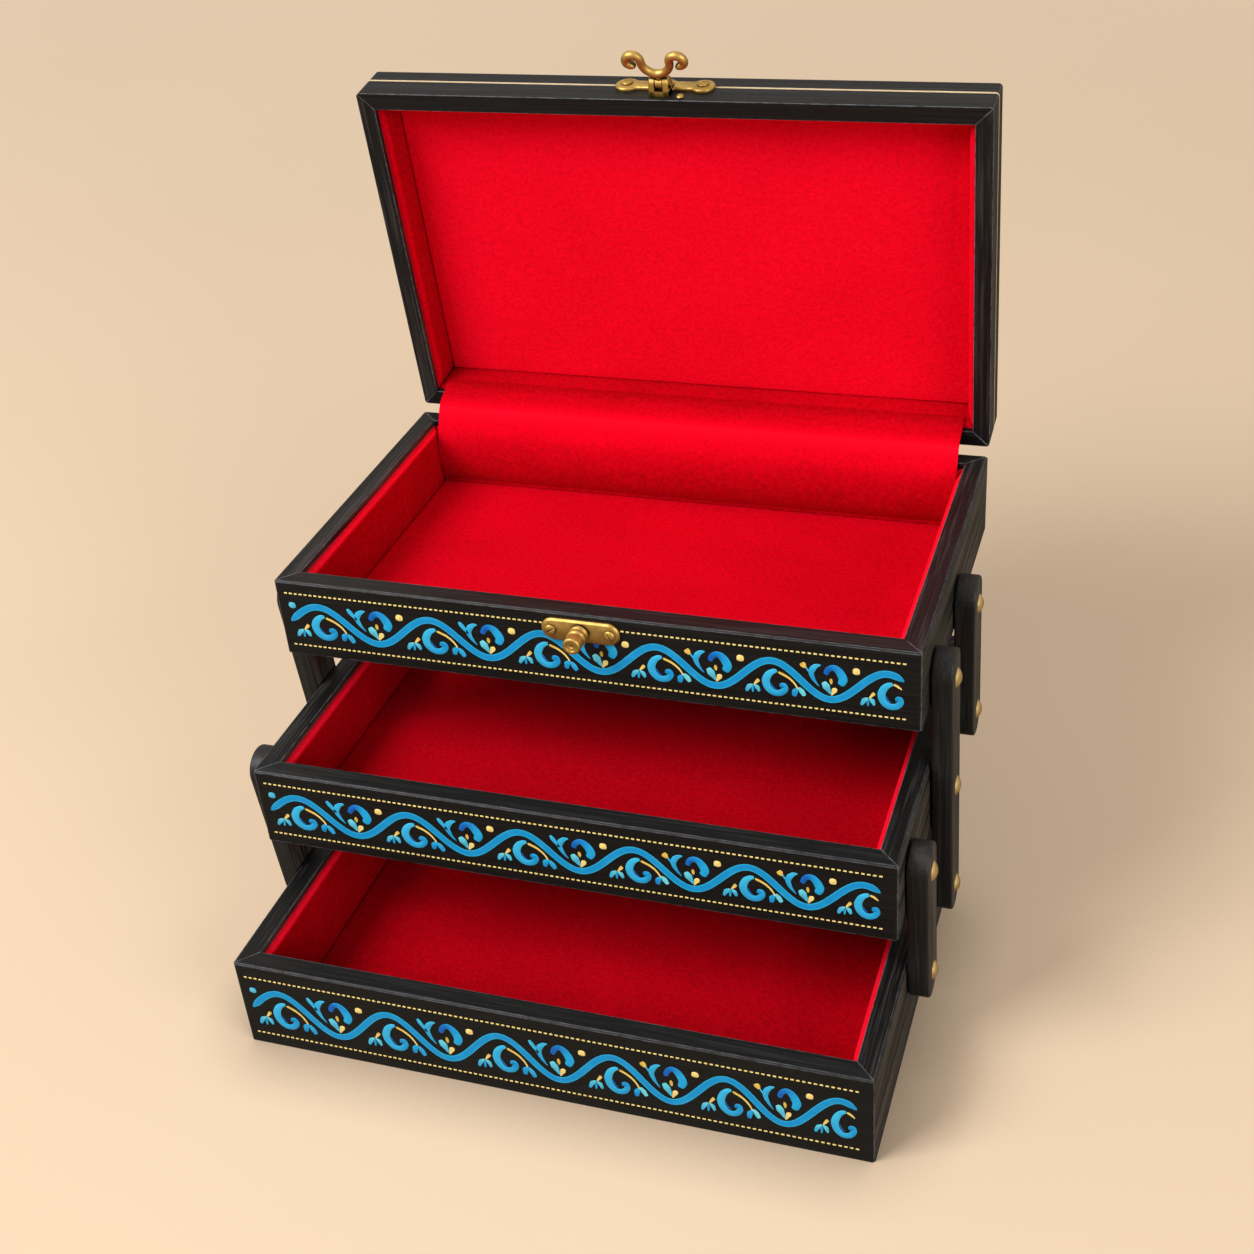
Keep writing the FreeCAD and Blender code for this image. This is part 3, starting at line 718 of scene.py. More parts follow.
class Form:
    """A mesh drawn in millimetres."""

    def __init__(self) -> None:
        """Start empty."""
        self.mesh = bmesh.new()

    def loft(self, rings: Sequence[Sequence[Vector]]) -> Form:
        """Skin closed rings of the same number of points and close both ends.

        Args:
            rings: The rings in order.

        Returns:
            The form itself.
        """
        rows = [[self.mesh.verts.new(p) for p in ring] for ring in rings]
        for low, high in zip(rows, rows[1:]):
            for face in zip(low, low[1:] + low[:1], high[1:] + high[:1], high):
                self.mesh.faces.new(face)
        self.mesh.faces.new(reversed(rows[0]))
        self.mesh.faces.new(rows[-1])
        return self

    def toned_loft(self, rings: Sequence[Sequence[Vector]], layer: str,
                   value: Callable[[int, Vector], float]) -> Form:
        """Loft whose points carry a number each.

        Args:
            rings: The rings in order.
            layer: Name of the attribute.
            value: Gives the number from a point's index in the loft and its place.

        Returns:
            The form itself.
        """
        layers = self.mesh.verts.layers.float
        key = layers.get(layer) or layers.new(layer)
        before = len(self.mesh.verts)
        self.loft(rings)
        self.mesh.verts.ensure_lookup_table()
        for index, vertex in enumerate(self.mesh.verts[before:]):
            vertex[key] = value(index, vertex.co)
        return self

    def bar(self, outline: Sequence[Pair], ends: Pair) -> Form:
        """Bar along X with an outline in Y and Z."""
        return self.loft([[Vector((x, y, z)) for y, z in outline] for x in ends])

    def turn(self, profile: Sequence[Pair], steps: int = 40, seat: Matrix = AS_DRAWN) -> Form:
        """Lathe a profile of (radius, height) points about a seat's Z; it is closed at both ends.

        Args:
            profile: The points from one end to the other.
            steps: Points round it.
            seat: Where it stands.

        Returns:
            The form itself.
        """
        rings = []
        for radius, height in profile:
            reach = max(radius, 1e-3)
            rings.append([seat @ Vector((reach * math.cos(a), reach * math.sin(a), height))
                          for a in sweep(360, steps)[:-1]])
        return self.loft(rings)

    def tube(self, path: Sequence[Vector], radii: Sequence[float], across: Vector, steps: int = 16) -> Form:
        """Round bar along a flat path.

        Args:
            path: Points of its middle line.
            radii: Its radius at each point.
            across: The direction at right angles to the plane of the path.
            steps: Points round it.

        Returns:
            The form itself.
        """
        rings = []
        for index, (spot, radius) in enumerate(zip(path, radii)):
            side = heading(path, index).cross(across)
            rings.append([spot + (side * math.cos(a) + across * math.sin(a)) * radius
                          for a in sweep(360, steps)[:-1]])
        return self.loft(rings)

    def slab(self, plan: Callable[[float], Sequence[Vector]], levels: Sequence[Pair],
             lift: Vector = UP) -> Form:
        """Plate with shaped edges.

        Args:
            plan: Gives the outline drawn in by a distance.
            levels: (height, distance drawn in) from the bottom to the top.
            lift: Direction of the height.

        Returns:
            The form itself.
        """
        return self.loft([[p + lift * height for p in plan(inset)] for height, inset in levels])

    def data(self, seat: Matrix = AS_DRAWN) -> Mesh:
        """Finished mesh in metres on its seat, with its faces outwards.

        Args:
            seat: Where it stands, in millimetres.

        Returns:
            The mesh; the form is used up.
        """
        bmesh.ops.remove_doubles(self.mesh, verts=self.mesh.verts, dist=1e-5)
        bmesh.ops.recalc_face_normals(self.mesh, faces=self.mesh.faces)
        data = bpy.data.meshes.new("form")
        self.mesh.to_mesh(data)
        self.mesh.free()
        data.transform(Matrix.Scale(MM, 4) @ seat)
        return smoothed(data)


def add_piece(name: str, data: Mesh, finish: Finish, body: str,
              replaced: Sequence[str] = ()) -> bpy.types.Object:
    """Put a finished mesh into the scene as a piece of the box.

    Args:
        name: The piece's name.
        data: Its mesh in metres.
        finish: Its finish.
        body: The body it rides on, or an empty name for one that is blended later.
        replaced: The nodes that it stands for.

    Returns:
        The new object.
    """
    data.name = name
    data.materials.clear()
    data.materials.append(finish.material())
    piece = put(name, data)
    if body:
        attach(piece, body)
    if replaced:
        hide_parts(*replaced)
    LOG.info("%s: %d faces", name, len(data.polygons))
    return piece


def add_brass(name: str, data: Mesh, body: str, *replaced: str) -> None:
    """Add a brass fitting."""
    add_piece(name, data, Finish.BRASS, body, replaced)


def add_velvet(name: str, data: Mesh, body: str, node: str) -> None:
    """Add a stuffed velvet panel."""
    piece = add_piece(name, data, Finish.VELVET, body, [node])


def paint_nodes(finish: Finish, *nodes: str) -> None:
    """Give CAD nodes their finish.

    Args:
        finish: The finish.
        nodes: The nodes' names.
    """
    for node in nodes:
        for slot in frame["nodes"][node].material_slots:
            slot.material = finish.material()


# Repeats made with geometry nodes


class NodeTool:
    """A geometry-nodes tree with named inputs, run on a mesh."""

    def __init__(self, name: str, sockets: dict[str, Sequence[str]]) -> None:
        """Make the tree's inputs, given as titles by kind, and its ends.

        Args:
            name: The tree's name.
            sockets: Titles of its inputs by kind of socket.
        """
        self.tree = bpy.data.node_groups.new(name, "GeometryNodeTree")
        self.pen = Pen(self.tree)
        self.inputs: dict[str, str] = {}
        for kind, titles in ({"Geometry": ["Geometry"], "Material": ["Material"]} | sockets).items():
            for title in titles:
                socket = self.tree.interface.new_socket(title, in_out="INPUT",
                                                        socket_type=f"NodeSocket{kind}")
                self.inputs[title] = socket.identifier
        self.tree.interface.new_socket("Geometry", in_out="OUTPUT", socket_type="NodeSocketGeometry")
        self.entry = self.tree.nodes.new("NodeGroupInput")
        self.exit = self.tree.nodes.new("NodeGroupOutput")

    def __getitem__(self, title: str) -> Value:
        """One input of the tree."""
        return Value(self.pen, self.entry.outputs[title])

    def close(self, geometry: Value) -> NodeTool:
        """Realize what was made, give it the material and send it out.

        Args:
            geometry: What the tree makes.

        Returns:
            The tool.
        """
        real = self.pen.node("GeometryNodeRealizeInstances", None, {"Geometry": geometry})
        dressed = self.pen.node("GeometryNodeSetMaterial", None,
                                {"Geometry": real, "Material": self["Material"]})
        self.tree.links.new(dressed.socket, self.exit.inputs[0])
        return self

    def run(self, data: Mesh, finish: Finish, values: dict) -> Mesh:
        """Run the tree on a mesh and return the plain mesh that results.

        Args:
            data: The mesh that goes in.
            finish: Finish of what comes out.
            values: The other inputs by title.

        Returns:
            The mesh that comes out.
        """
        carrier = put("carrier", data)
        modifier = carrier.modifiers.new("tool", "NODES")
        modifier.node_group = self.tree
        for title, value in (values | {"Material": finish.material()}).items():
            modifier[self.inputs[title]] = value
        return baked(carrier)


@cache
def row_tool() -> NodeTool:
    """Tree that sets copies of a part in a row, each one turned a little further than the last.

    Returns:
        The tool, the same one at each call.
    """
    tool = NodeTool("row_of_parts", {
        "Int": ["Count"], "Vector": ["First", "Step", "Turn", "Turn Step"],
        "Float": ["Size", "Tighten", "Narrow"],
    })
    pen = tool.pen
    line = pen.node("GeometryNodeMeshLine", {"mode": "OFFSET"},
                    {"Count": tool["Count"], "Start Location": tool["First"], "Offset": tool["Step"]})
    index = pen.node("GeometryNodeInputIndex")
    more = pen.node("ShaderNodeVectorMath", {"operation": "SCALE"}, {0: tool["Turn Step"], "Scale": index})
    turn = pen.node("ShaderNodeVectorMath", {"operation": "ADD"}, {0: tool["Turn"], 1: more})
    size = pen.vector(tool["Size"] - index * tool["Narrow"], tool["Size"], tool["Size"])
    closer = pen.vector(0.0 - index * index * tool["Tighten"])
    points = pen.node("GeometryNodeSetPosition", None, {"Geometry": line, "Offset": closer})
    return tool.close(pen.node("GeometryNodeInstanceOnPoints", None, {
        "Points": points, "Instance": tool["Geometry"], "Rotation": turn, "Scale": size,
    }))


def repeated(part: Mesh, finish: Finish, count: int, first: Point, step: Point,
             more: dict | None = None) -> Mesh:
    """Copies of a part in a row.

    Args:
        part: The part's mesh in metres, which stays as it is.
        finish: Finish of the copies.
        count: How many there are.
        first: Place of the first one in millimetres.
        step: Way from one to the next in millimetres.
        more: Further inputs of the row tool, in metres and radians.

    Returns:
        The mesh of all copies in metres.
    """
    values = {"Count": count, "Size": 1.0, "First": [v * MM for v in first], "Step": [v * MM for v in step]}
    return row_tool().run(part.copy(), finish, values | (more or {}))


@cache
def wave_tool() -> NodeTool:
    """Tree that lays a flat ribbon along a wave, tapered to a tip at both ends.

    Returns:
        The tool, the same one at each call.
    """
    tool = NodeTool("wave_ribbon", {
        "Float": ["Start", "End", "Crest", "Period", "Tighten", "Swing", "Middle", "Width", "Thickness",
                  "Taper"],
        "Int": ["Steps"],
    })
    pen, start, end = tool.pen, tool["Start"], tool["End"]
    line = pen.node("GeometryNodeCurvePrimitiveLine", None,
                    {"Start": pen.vector(start), "End": pen.vector(end)})
    dense = pen.node("GeometryNodeResampleCurve", None, {"Curve": line, "Count": tool["Steps"]})
    x = pen.part(pen.node("GeometryNodeInputPosition"), 0)
    period, tighten = tool["Period"], tool["Tighten"]
    inside = period * period - (x - tool["Crest"]) * tighten * 4.0
    turns = (period - inside ** 0.5) / (tighten * 2.0)
    height = pen.node("ShaderNodeMath", {"operation": "COSINE"}, {0: turns * (2 * math.pi)}) * tool["Swing"]
    offset = pen.vector(0.0, height + tool["Middle"])
    from_start = ((x - start) / tool["Taper"]).clipped()
    from_end = ((end - x) / tool["Taper"]).clipped()
    fullness = (from_start * from_end) ** 0.6 * 0.9 + 0.1
    waved = pen.node("GeometryNodeSetPosition", None, {"Geometry": dense, "Offset": offset})
    section = pen.node("GeometryNodeCurvePrimitiveQuadrilateral", None,
                       {"Width": tool["Width"], "Height": tool["Thickness"]})
    return tool.close(pen.node("GeometryNodeCurveToMesh", None, {
        "Curve": waved, "Profile Curve": section, "Fill Caps": True, "Scale": fullness,
    }))


# Trays and lid


@dataclass(frozen=True)
class Upholstery:
    """Velvet panels of one tray or of the lid, in millimetres."""

    wall: float
    width: float = BOX_WIDTH
    depth: float = BOX_DEPTH
    thickness: float = LINING
    crown: float = 0.5
    pad: float = 3.0
    pad_crown: float = 0.9
    play: float = 0.3
    ripple: float = 0.16
    tuck: float = 0.7
    tuck_reach: float = 3.0
    # Strength of the painted highlight along the panels' upper edges.
    fringe_highlight: float = 1.0

    def _bulge(self, spot: Vector, seed: float) -> float:
        """Unevenness of the stuffing at a place.

        Args:
            spot: The place.
            seed: Start of the unevenness.

        Returns:
            Height of the bulge.
        """
        wide = noise.noise(spot * 0.035 + Vector((seed, 0.0, 0.0)))
        close = noise.noise(spot * 0.12 + Vector((0.0, seed, 0.0)))
        return self.ripple * (wide + 0.45 * close)

    def _section(self, low: float, high: float) -> list[Point]:
        """Loop round a panel's section: inward, up, and how far the stuffing may move it.

        Args:
            low: Height of the lower edge.
            high: Height of the rounded upper edge.

        Returns:
            The points of the loop.
        """
        shoulder, inner = high - self.thickness, self.wall + self.thickness
        steps = 10
        loop = []
        for i in range(steps + 1):
            t = i / steps
            swell = math.sin(math.pi * t)
            loop.append((inner + self.crown * swell ** 0.6, low + (shoulder - low) * t, swell))
        for angle in sweep(90, 6)[1:]:
            loop.append((self.wall + self.thickness * math.cos(angle),
                         shoulder + self.thickness * math.sin(angle), 0.25 * math.cos(angle)))
        return loop + [(self.wall, low, 0.0)]

    def walls(self, low: float, high: float, panel_painted_lights: Sequence[float]) -> Form:
        """Four panels that meet in the corners, each pulled in a little at its ends.

        Args:
            low: Height of the panels' lower edges.
            high: Height of their rounded upper edges.
            panel_painted_lights: Light painted into each panel's colour, below zero as painted shade, from
                the one at low Y anticlockwise.

        Returns:
            The form.
        """
        form = Form()
        loop = self._section(low, high)
        # Height where the painted highlight along the upper edge begins.
        crest = high - self.thickness * 0.8
        sizes = (self.width / 2, self.depth / 2)
        for quarter, nap in enumerate(panel_painted_lights):
            half, reach = sizes if quarter % 2 == 0 else sizes[::-1]
            turn = spin(90 * quarter, "Z")
            rings = []
            for angle in sweep(180, 56):
                ring = []
                for inward, up, free in loop:
                    x = -math.cos(angle) * (half - inward)
                    gap = (half - inward - abs(x)) / self.tuck_reach
                    tuck = self.tuck * math.exp(-(gap ** 2)) if inward > self.wall else 0.0
                    move = free * self._bulge(Vector((x, up, 0.0)), 7.0 * quarter + half) - tuck
                    ring.append(turn @ Vector((x, inward + move - reach, up)))
                rings.append(ring)

            def pile(_: int, spot: Vector, nap: float = nap) -> float:
                """Painted light on this panel at a place: its own painted shade, and a painted highlight
                along its upper edge.
                """
                return nap + (1.0 - nap) * unit((spot.z - crest) / (0.5 * self.thickness)) * self.fringe_highlight

            form.toned_loft(rings, "nap", pile)
        return form

    def _stations(self, length: float, count: int) -> list[float]:
        """Places across the pad, closer together in its rounded edges.

        Args:
            length: The pad's length.
            count: Pieces between its rounded edges.

        Returns:
            The places, from end to end.
        """
        soft = self.pad / 2
        edge = [soft * (1 - math.cos(angle)) for angle in sweep(90, 5)[:-1]]
        inner = [soft + (length - 2 * soft) * k / count for k in range(count + 1)]
        return [e - length / 2 for e in edge + inner + [length - e for e in reversed(edge)]]

    def floor(self, seed: float, pad_painted_light: float) -> Form:
        """Crowned pad with soft edges, its underside at height zero.

        Args:
            seed: Start of its unevenness.
            pad_painted_light: Light painted into its colour, below zero as painted shade.

        Returns:
            The form.
        """
        inset = self.wall + self.thickness + self.play
        width, depth = self.width - 2 * inset, self.depth - 2 * inset
        soft = self.pad / 2
        form = Form()
        rows = []
        for x in self._stations(width, 60):
            row = []
            for y in self._stations(depth, 36):
                rise = rounded((width / 2 - abs(x)) / soft) * rounded((depth / 2 - abs(y)) / soft)
                arch = (1 - (2 * x / width) ** 2) * (1 - (2 * y / depth) ** 2)
                wave = self._bulge(Vector((x, y, 0.0)), seed) * min(1.0, 3 * arch)
                top = self.pad - soft + soft * rise + self.pad_crown * arch ** 0.6 + wave
                row.append(form.mesh.verts.new((x, y, top)))
            rows.append(row)
        for left, right in zip(rows, rows[1:]):
            for face in zip(left, right, right[1:], left[1:]):
                form.mesh.faces.new(face)
        rim = [row[0] for row in rows] + rows[-1][1:] + [row[-1] for row in reversed(rows[:-1])]
        rim += list(reversed(rows[0][1:-1]))
        feet = [form.mesh.verts.new((v.co.x, v.co.y, 0.0)) for v in rim]
        for face in zip(rim, feet, feet[1:] + feet[:1], rim[1:] + rim[:1]):
            form.mesh.faces.new(face)
        form.mesh.faces.new(feet)
        # Painted light, the same all over the pad.
        nap = form.mesh.verts.layers.float.new("nap")
        for vertex in form.mesh.verts:
            vertex[nap] = pad_painted_light
        return form


@dataclass
class Tray:
    """One tray: its boards, velvet and painted front."""

    name: str
    # Painted shade on the floor pad and on the back and left wall panels.
    pad_painted_light: float = -0.45
    base_panel: float = 3.0
    lining_drop: float = 3.0
    wall_painted_lights: tuple[float, ...] = (0.0, 0.0, -0.6, -0.65)

    def __post_init__(self) -> None:
        """Read the tray's place from its nodes."""
        low, high = corners(f"{self.name}_front_board")
        back = corners(f"{self.name}_back_board")[1]
        self.body = f"{self.name}_tray"
        self.height = high.z - low.z
        self.front = low.y
        self.seat = shift(0, (low.y + back.y) / 2, low.z)

    def dress(self) -> None:
        """Finish the boards and add the velvet."""
        name = self.name
        paint_nodes(Finish.BOARD, f"{name}_front_board", f"{name}_back_board", f"{name}_base_panel")
        paint_nodes(Finish.SIDE_BOARD, f"{name}_left_board", f"{name}_right_board")
        cloth = Upholstery(TRAY_BOARD)
        walls = cloth.walls(self.base_panel, self.height - self.lining_drop, self.wall_painted_lights)
        add_velvet(f"{name}_velvet_walls", walls.data(self.seat), self.body, f"{name}_wall_lining")
        pad = cloth.floor(self.height, self.pad_painted_light)
        lifted = self.seat @ shift(z=self.base_panel)
        add_velvet(f"{name}_velvet_floor", pad.data(lifted), self.body, f"{name}_floor_pad")


@dataclass
class Lid:
    """The lid with its velvet and the strip over its hinges."""

    board: float = 7.5
    panel: float = 3.5
    height: float = 23.0
    gap: float = 0.4
    base: float = 37.4
    lining_drop: float = 3.0
    half_depth: float = BOX_DEPTH / 2
    hinge_setback: float = 3.0
    # Painted shade on the lid's back and left wall panels.
    wall_painted_lights: tuple[float, ...] = (-0.45, 0.0, 0.0, -0.6)
    strip_thickness: float = 1.2
    strip_hem: float = 0.12
    strip_bulge: float = 2.4
    strip_play: float = 0.3

    def __post_init__(self) -> None:
        """Work out how the closed lid, in the top tray's frame, stands open."""
        angle = joint_row("lid_hinge")["range_deg"][0]
        to_axis = shift(0, -self.half_depth - self.hinge_setback, self.gap / 2 - self.base)
        self.open = Matrix.Translation(joint_place("lid_hinge")) @ spin(angle, "X") @ to_axis

    def front(self, across: float, rise: float) -> Matrix:
        """Frame on the lid's front board: X along it, Y towards the lid's top, Z outwards."""
        return self.open @ shift(across, -self.half_depth, self.base + rise) @ UPRIGHT

    def dress(self) -> None:
        """Finish the boards and the stringing, and add the velvet."""
        paint_nodes(Finish.BOARD, "lid_front_board", "lid_back_board", "lid_top_panel")
        paint_nodes(Finish.LID_SIDE_BOARD, "lid_left_board", "lid_right_board")
        paint_nodes(Finish.STRINGING, "lid_stringing")
        # Weaker painted highlight along the lid's wall tops.
        cloth = Upholstery(self.board, fringe_highlight=0.3)
        ceiling = self.height - self.panel
        upside = self.open @ shift(z=self.base + ceiling) @ spin(180, "X")
        walls = cloth.walls(0.0, ceiling - self.lining_drop, self.wall_painted_lights)
        add_velvet("lid_velvet_walls", walls.data(upside), "lid", "lid_wall_lining")
        # A little painted light on the lid's panel.
        pad = cloth.floor(3.0, 0.2)
        add_velvet("lid_velvet_panel", pad.data(upside), "lid", "lid_panel_pad")

    def strip(self) -> None:
        """Velvet strip from the tray's inner rim to the lid's, bulged towards the room."""
        rim = corners("top_back_board")[1]
        low = Vector((0, rim.y - TRAY_BOARD, rim.z))
        high = self.open @ Vector((0, self.half_depth - self.board, self.base))
        along = (high - low).normalized()
        out = Vector((0, -along.z, along.y))
        low, high = low + out * self.strip_play, high + out * self.strip_play
        route = self._strip_route(low, high, out)
        last = len(route) - 1
        width = BOX_WIDTH - 2 * (TRAY_BOARD + LINING + self.strip_play)
        rings = []
        count = 80
        for k in range(count + 1):
            across = Vector((width * (k / count - 0.5), 0, 0))
            outer = []
            for i, spot in enumerate(route):
                ahead = heading(route, i)
                fullness = math.sin(math.pi * min(1.0, min(i, last - i) / 5) / 2)
                ripple = 0.1 * noise.noise(Vector((across.x * 0.05, i * 0.15, 4.0))) * fullness
                stand = (self.strip_thickness - 0.25) * fullness + self.strip_hem + ripple
                outer.append(spot + across + Vector((0, -ahead.z, ahead.y)) * stand)
            rings.append([spot + across for spot in route] + outer[::-1])
        # Height of the strip's fold, where its painted highlight is strongest.
        fold = low.lerp(high, 0.62).z

        def pile(_: int, spot: Vector) -> float:
            """Painted light on the strip: a painted highlight at the fold, painted shade up into the lid and
            down in the tray.

            Args:
                _: The point's index, which has no say.
                spot: Its place.

            Returns:
                The number.
            """
            below = (fold - spot.z) / (fold - route[0].z)
            beyond = (spot.z - fold) / (route[-1].z - fold)
            return 0.35 - 1.15 * max(below, 0.0) ** 0.75 - max(beyond, 0.0) ** 0.7

        form = Form().toned_loft(rings, "nap", pile)
        piece = add_piece("hinge_velvet_strip", form.data(), Finish.VELVET, "", ["hinge_strip"])
        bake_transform(piece, "top_tray", "lid", start=tuple(low * MM), end=tuple(high * MM))
        length = sum((b - a).length for a, b in zip(route, route[1:]))

    def _strip_route(self, low: Vector, high: Vector, out: Vector) -> list[Vector]:
        """Section of the strip: from the tray's floor up its back lining and onto the lid's lining.

        Args:
            low: Where it leaves the tray.
            high: Where it meets the lid.
            out: Direction of its bulge.

        Returns:
            Points from low to high.
        """
        turned = self.open.to_3x3()
        into_lid, off_lid = turned @ Vector((0, 0, 1)), turned @ Vector((0, -1, 0))
        down, off_tray = Vector((0, 0, -1)), Vector((0, -1, 0))
        tail = ((6.6, 3.25), (4.6, 2.7), (2.6, 1.5), (1.0, 0.5))
        curtain = ((29.6, 3.1), (26.0, 3.75), (20.0, 3.9), (13.0, 3.85), (8.5, 3.6))
        route = [low + down * deep + off_tray * stand for deep, stand in curtain + tail]
        for k in range(11):
            t = k / 10
            route.append(low.lerp(high, t) + out * (self.strip_bulge * math.sin(math.pi * t)))
        route += [high + into_lid * deep + off_lid * stand for deep, stand in reversed(tail)]
        return smooth_path(route, 2)


# Side arms


@dataclass
class SideArms:
    """The six wooden arms and the rivets they turn on."""

    pitch: float = 60.0
    spacing: float = 56.0
    width: float = 19.0
    thickness: float = 9.0
    overhang: float = 13.0
    gap: float = 0.6
    half_box: float = BOX_WIDTH / 2
    edge: float = 1.0
    head_radius: float = 4.25
    head_height: float = 2.0
    pin_radius: float = 2.0
    angle: float = 96.444

    def _arm(self, name: str, rivets: int, sign: int, place: Vector) -> None:
        """One arm with rounded edges, at its open angle.

        Args:
            name: The arm's node.
            rivets: How many rivets it has.
            sign: Side of the box, 1 or -1.
            place: Place of its lowest rivet.
        """
        soft, thick, half = self.edge, self.thickness, self.width / 2
        levels = [(0.0, soft), (0.12 * soft, 0.5 * soft), (0.3 * soft, 0.28 * soft),
                  (0.6 * soft, 0.08 * soft), (soft, 0.0)]
        levels += [(thick - height, inset) for height, inset in reversed(levels)]
        foot = half - self.overhang
        outline = capsule(foot, self.pitch * (rivets - 1) - foot, half, 24)
        form = Form().slab(lambda inset: [p.zxy for p in outline(inset)], levels, Vector((1, 0, 0)))
        start = self.half_box + self.gap
        seat = shift(start if sign > 0 else -start - thick, place.y, place.z) @ spin(self.angle, "X")
        add_piece(f"{name}_wood", form.data(seat), Finish.ARM, name, [name])

    def _rivet(self) -> Mesh:
        """A rivet along Z: pin from the board through the arm, and a domed head.

        Returns:
            The mesh.
        """
        out = self.gap + self.thickness + 0.1
        sphere = (self.head_radius ** 2 + self.head_height ** 2) / (2 * self.head_height)
        profile = [(0.0, -1.0), (self.pin_radius, -1.0), (self.pin_radius, out), (self.head_radius, out)]
        spread = math.degrees(math.asin(self.head_radius / sphere))
        for angle in reversed(sweep(spread, 8)[:-1]):
            profile.append((sphere * math.sin(angle),
                            out + self.head_height - sphere * (1 - math.cos(angle))))
        return Form().turn(profile, 36).data()

    def _places(self) -> dict[str, Vector]:
        """Where the arms' feet and the first rivet of each tray are.

        Returns:
            The places by arm and by tray.
        """
        angle = math.radians(self.angle)
        step = Vector((0, self.pitch * math.cos(angle), self.pitch * math.sin(angle)))
        front, long = joint_place("front_arm_right_pivot"), joint_place("arms_fold")
        return {"front": front, "long": long, "rear": long + step + Vector((0, self.spacing, 0)),
                "bottom": front, "middle": front + step, "top": long + step * 2}

    def build(self) -> None:
        """Make arms and rivets."""
        places = self._places()
        for side, sign in (("right", 1), ("left", -1)):
            for kind, rivets in (("front", 2), ("long", 3), ("rear", 2)):
                self._arm(f"{kind}_arm_{side}", rivets, sign, places[kind])
        rivet = self._rivet()
        for tray, count in (("bottom", 2), ("middle", 3), ("top", 2)):
            halves = [
                repeated(rivet, Finish.RIVET_BRASS, count,
                         (sign * self.half_box, places[tray].y, places[tray].z), (0, self.spacing, 0),
                         {"Turn": (0, sign * math.pi / 2, 0)})
                for sign in (1, -1)
            ]
            add_piece(f"{tray}_rivet_heads", joined(halves), Finish.RIVET_BRASS, f"{tray}_tray",
                      [f"{tray}_rivets"])


# Brass fittings


@dataclass
class Screws:
    """Slotted round-head screws, in millimetres."""

    radius: float = 2.5
    height: float = 1.35
    rim: float = 0.25
    slot_width: float = 0.62
    slot_depth: float = 0.75

    def mesh(self) -> Mesh:
        """One head along Z with its slot cut along X.

        Returns:
            The mesh.
        """
        profile = [(0.0, -0.6), (self.radius - 0.3, -0.6), (self.radius - 0.05, 0.0),
                   (self.radius, self.rim)]
        for angle in sweep(90, 8)[1:]:
            profile.append((self.radius * math.cos(angle) ** 0.9,
                            self.rim + (self.height - self.rim) * math.sin(angle)))
        head = put("head", Form().turn(profile).data())
        half, floor = self.slot_width / 2, self.height - self.slot_depth
        slot = Form().bar([(-half, floor), (half, floor), (half, 4), (-half, 4)], (-4, 4))
        blade = put("blade", slot.data())
        cut = head.modifiers.new("slot", "BOOLEAN")
        cut.object = blade
        cut.operation = "DIFFERENCE"
        data = baked(head)
        bpy.data.objects.remove(blade)
        return data


def screw_row(screw: Mesh, seat: Matrix, spacing: float, lift: float,
              slots: Pair) -> Mesh:
    """Two screws on a plate, each with its slot at its own angle.

    Args:
        screw: The screw head's mesh.
        seat: Frame of the plate.
        spacing: Distance between the screws.
        lift: Height of the plate's face.
        slots: Angles of the two slots in degrees.

    Returns:
        The mesh of both heads.
    """
    first, second = (math.radians(angle) for angle in slots)
    turns = {"Turn": (0, 0, first), "Turn Step": (0, 0, second - first)}
    return seated(repeated(screw, Finish.BRASS, 2, (-spacing / 2, 0, lift), (spacing, 0, 0), turns), seat)


@dataclass
class Catch:
    """Catch plate, knob and screws on the top tray's front."""

    length: float = 34.0
    height: float = 10.4
    thickness: float = 1.8
    drop: float = 7.4
    screw_spacing: float = 25.6
    slots: Pair = (35.0, 120.0)
    knob_radius: float = 4.1
    knob_length: float = 11.0
    rib: float = 2.4

    def build(self, screw: Mesh) -> None:
        """Make plate, knob and screws, with X along the board, Y up and Z out of it.

        Args:
            screw: The screw head's mesh.
        """
        low, high = corners("top_front_board")
        seat = shift(0, low.y, high.z - self.drop) @ UPRIGHT
        top, radius = self.thickness, self.height / 2
        levels = [(0.0, 0.05), (top - 0.85, 0.0), (top - 0.7, 0.08), (top - 0.12, 0.75), (top, 0.95)]
        reach = self.length / 2 - radius
        plate = Form().slab(capsule(-reach, reach, radius), levels)
        add_brass("catch_backplate", plate.data(seat), "top_tray", "catch_plate")
        add_brass("catch_turned_knob", self._knob().data(seat), "top_tray", "catch_knob")
        heads = screw_row(screw, seat, self.screw_spacing, top, self.slots)
        add_brass("catch_screw_heads", heads, "top_tray", "catch_screws")

    def _knob(self) -> Form:
        """Turned knob: a collar, two ribs and a dished head with a dimple.

        Returns:
            The form.
        """
        r, top = self.knob_radius, self.thickness
        tip = top + self.knob_length
        profile = [(0.0, top - 0.4), (r - 0.35, top - 0.4), (r, top + 0.1)]
        along = top
        for _ in range(2):
            for k, angle in enumerate(sweep(180, 8)):
                profile.append((r - 0.9 + 0.9 * math.sin(angle) ** 0.7, along + self.rib * k / 8))
            profile.append((r - 0.95, along + self.rib + 0.4))
            along += self.rib + 0.8
        head = r - 0.25
        for angle in sweep(90, 6):
            profile.append((head - 0.7 + 0.7 * math.sin(angle), along + 0.7 * (1 - math.cos(angle))))
        for angle in sweep(90, 6):
            profile.append((head - 0.8 + 0.8 * math.cos(angle), tip - 0.8 + 0.8 * math.sin(angle)))
        profile += [(head - 1.5, tip - 0.08), (head - 1.8, tip - 0.42), (1.1, tip - 0.5),
                    (0.75, tip - 0.62), (0.5, tip - 1.0), (0.0, tip - 1.15)]
        return Form().turn(profile, 48)


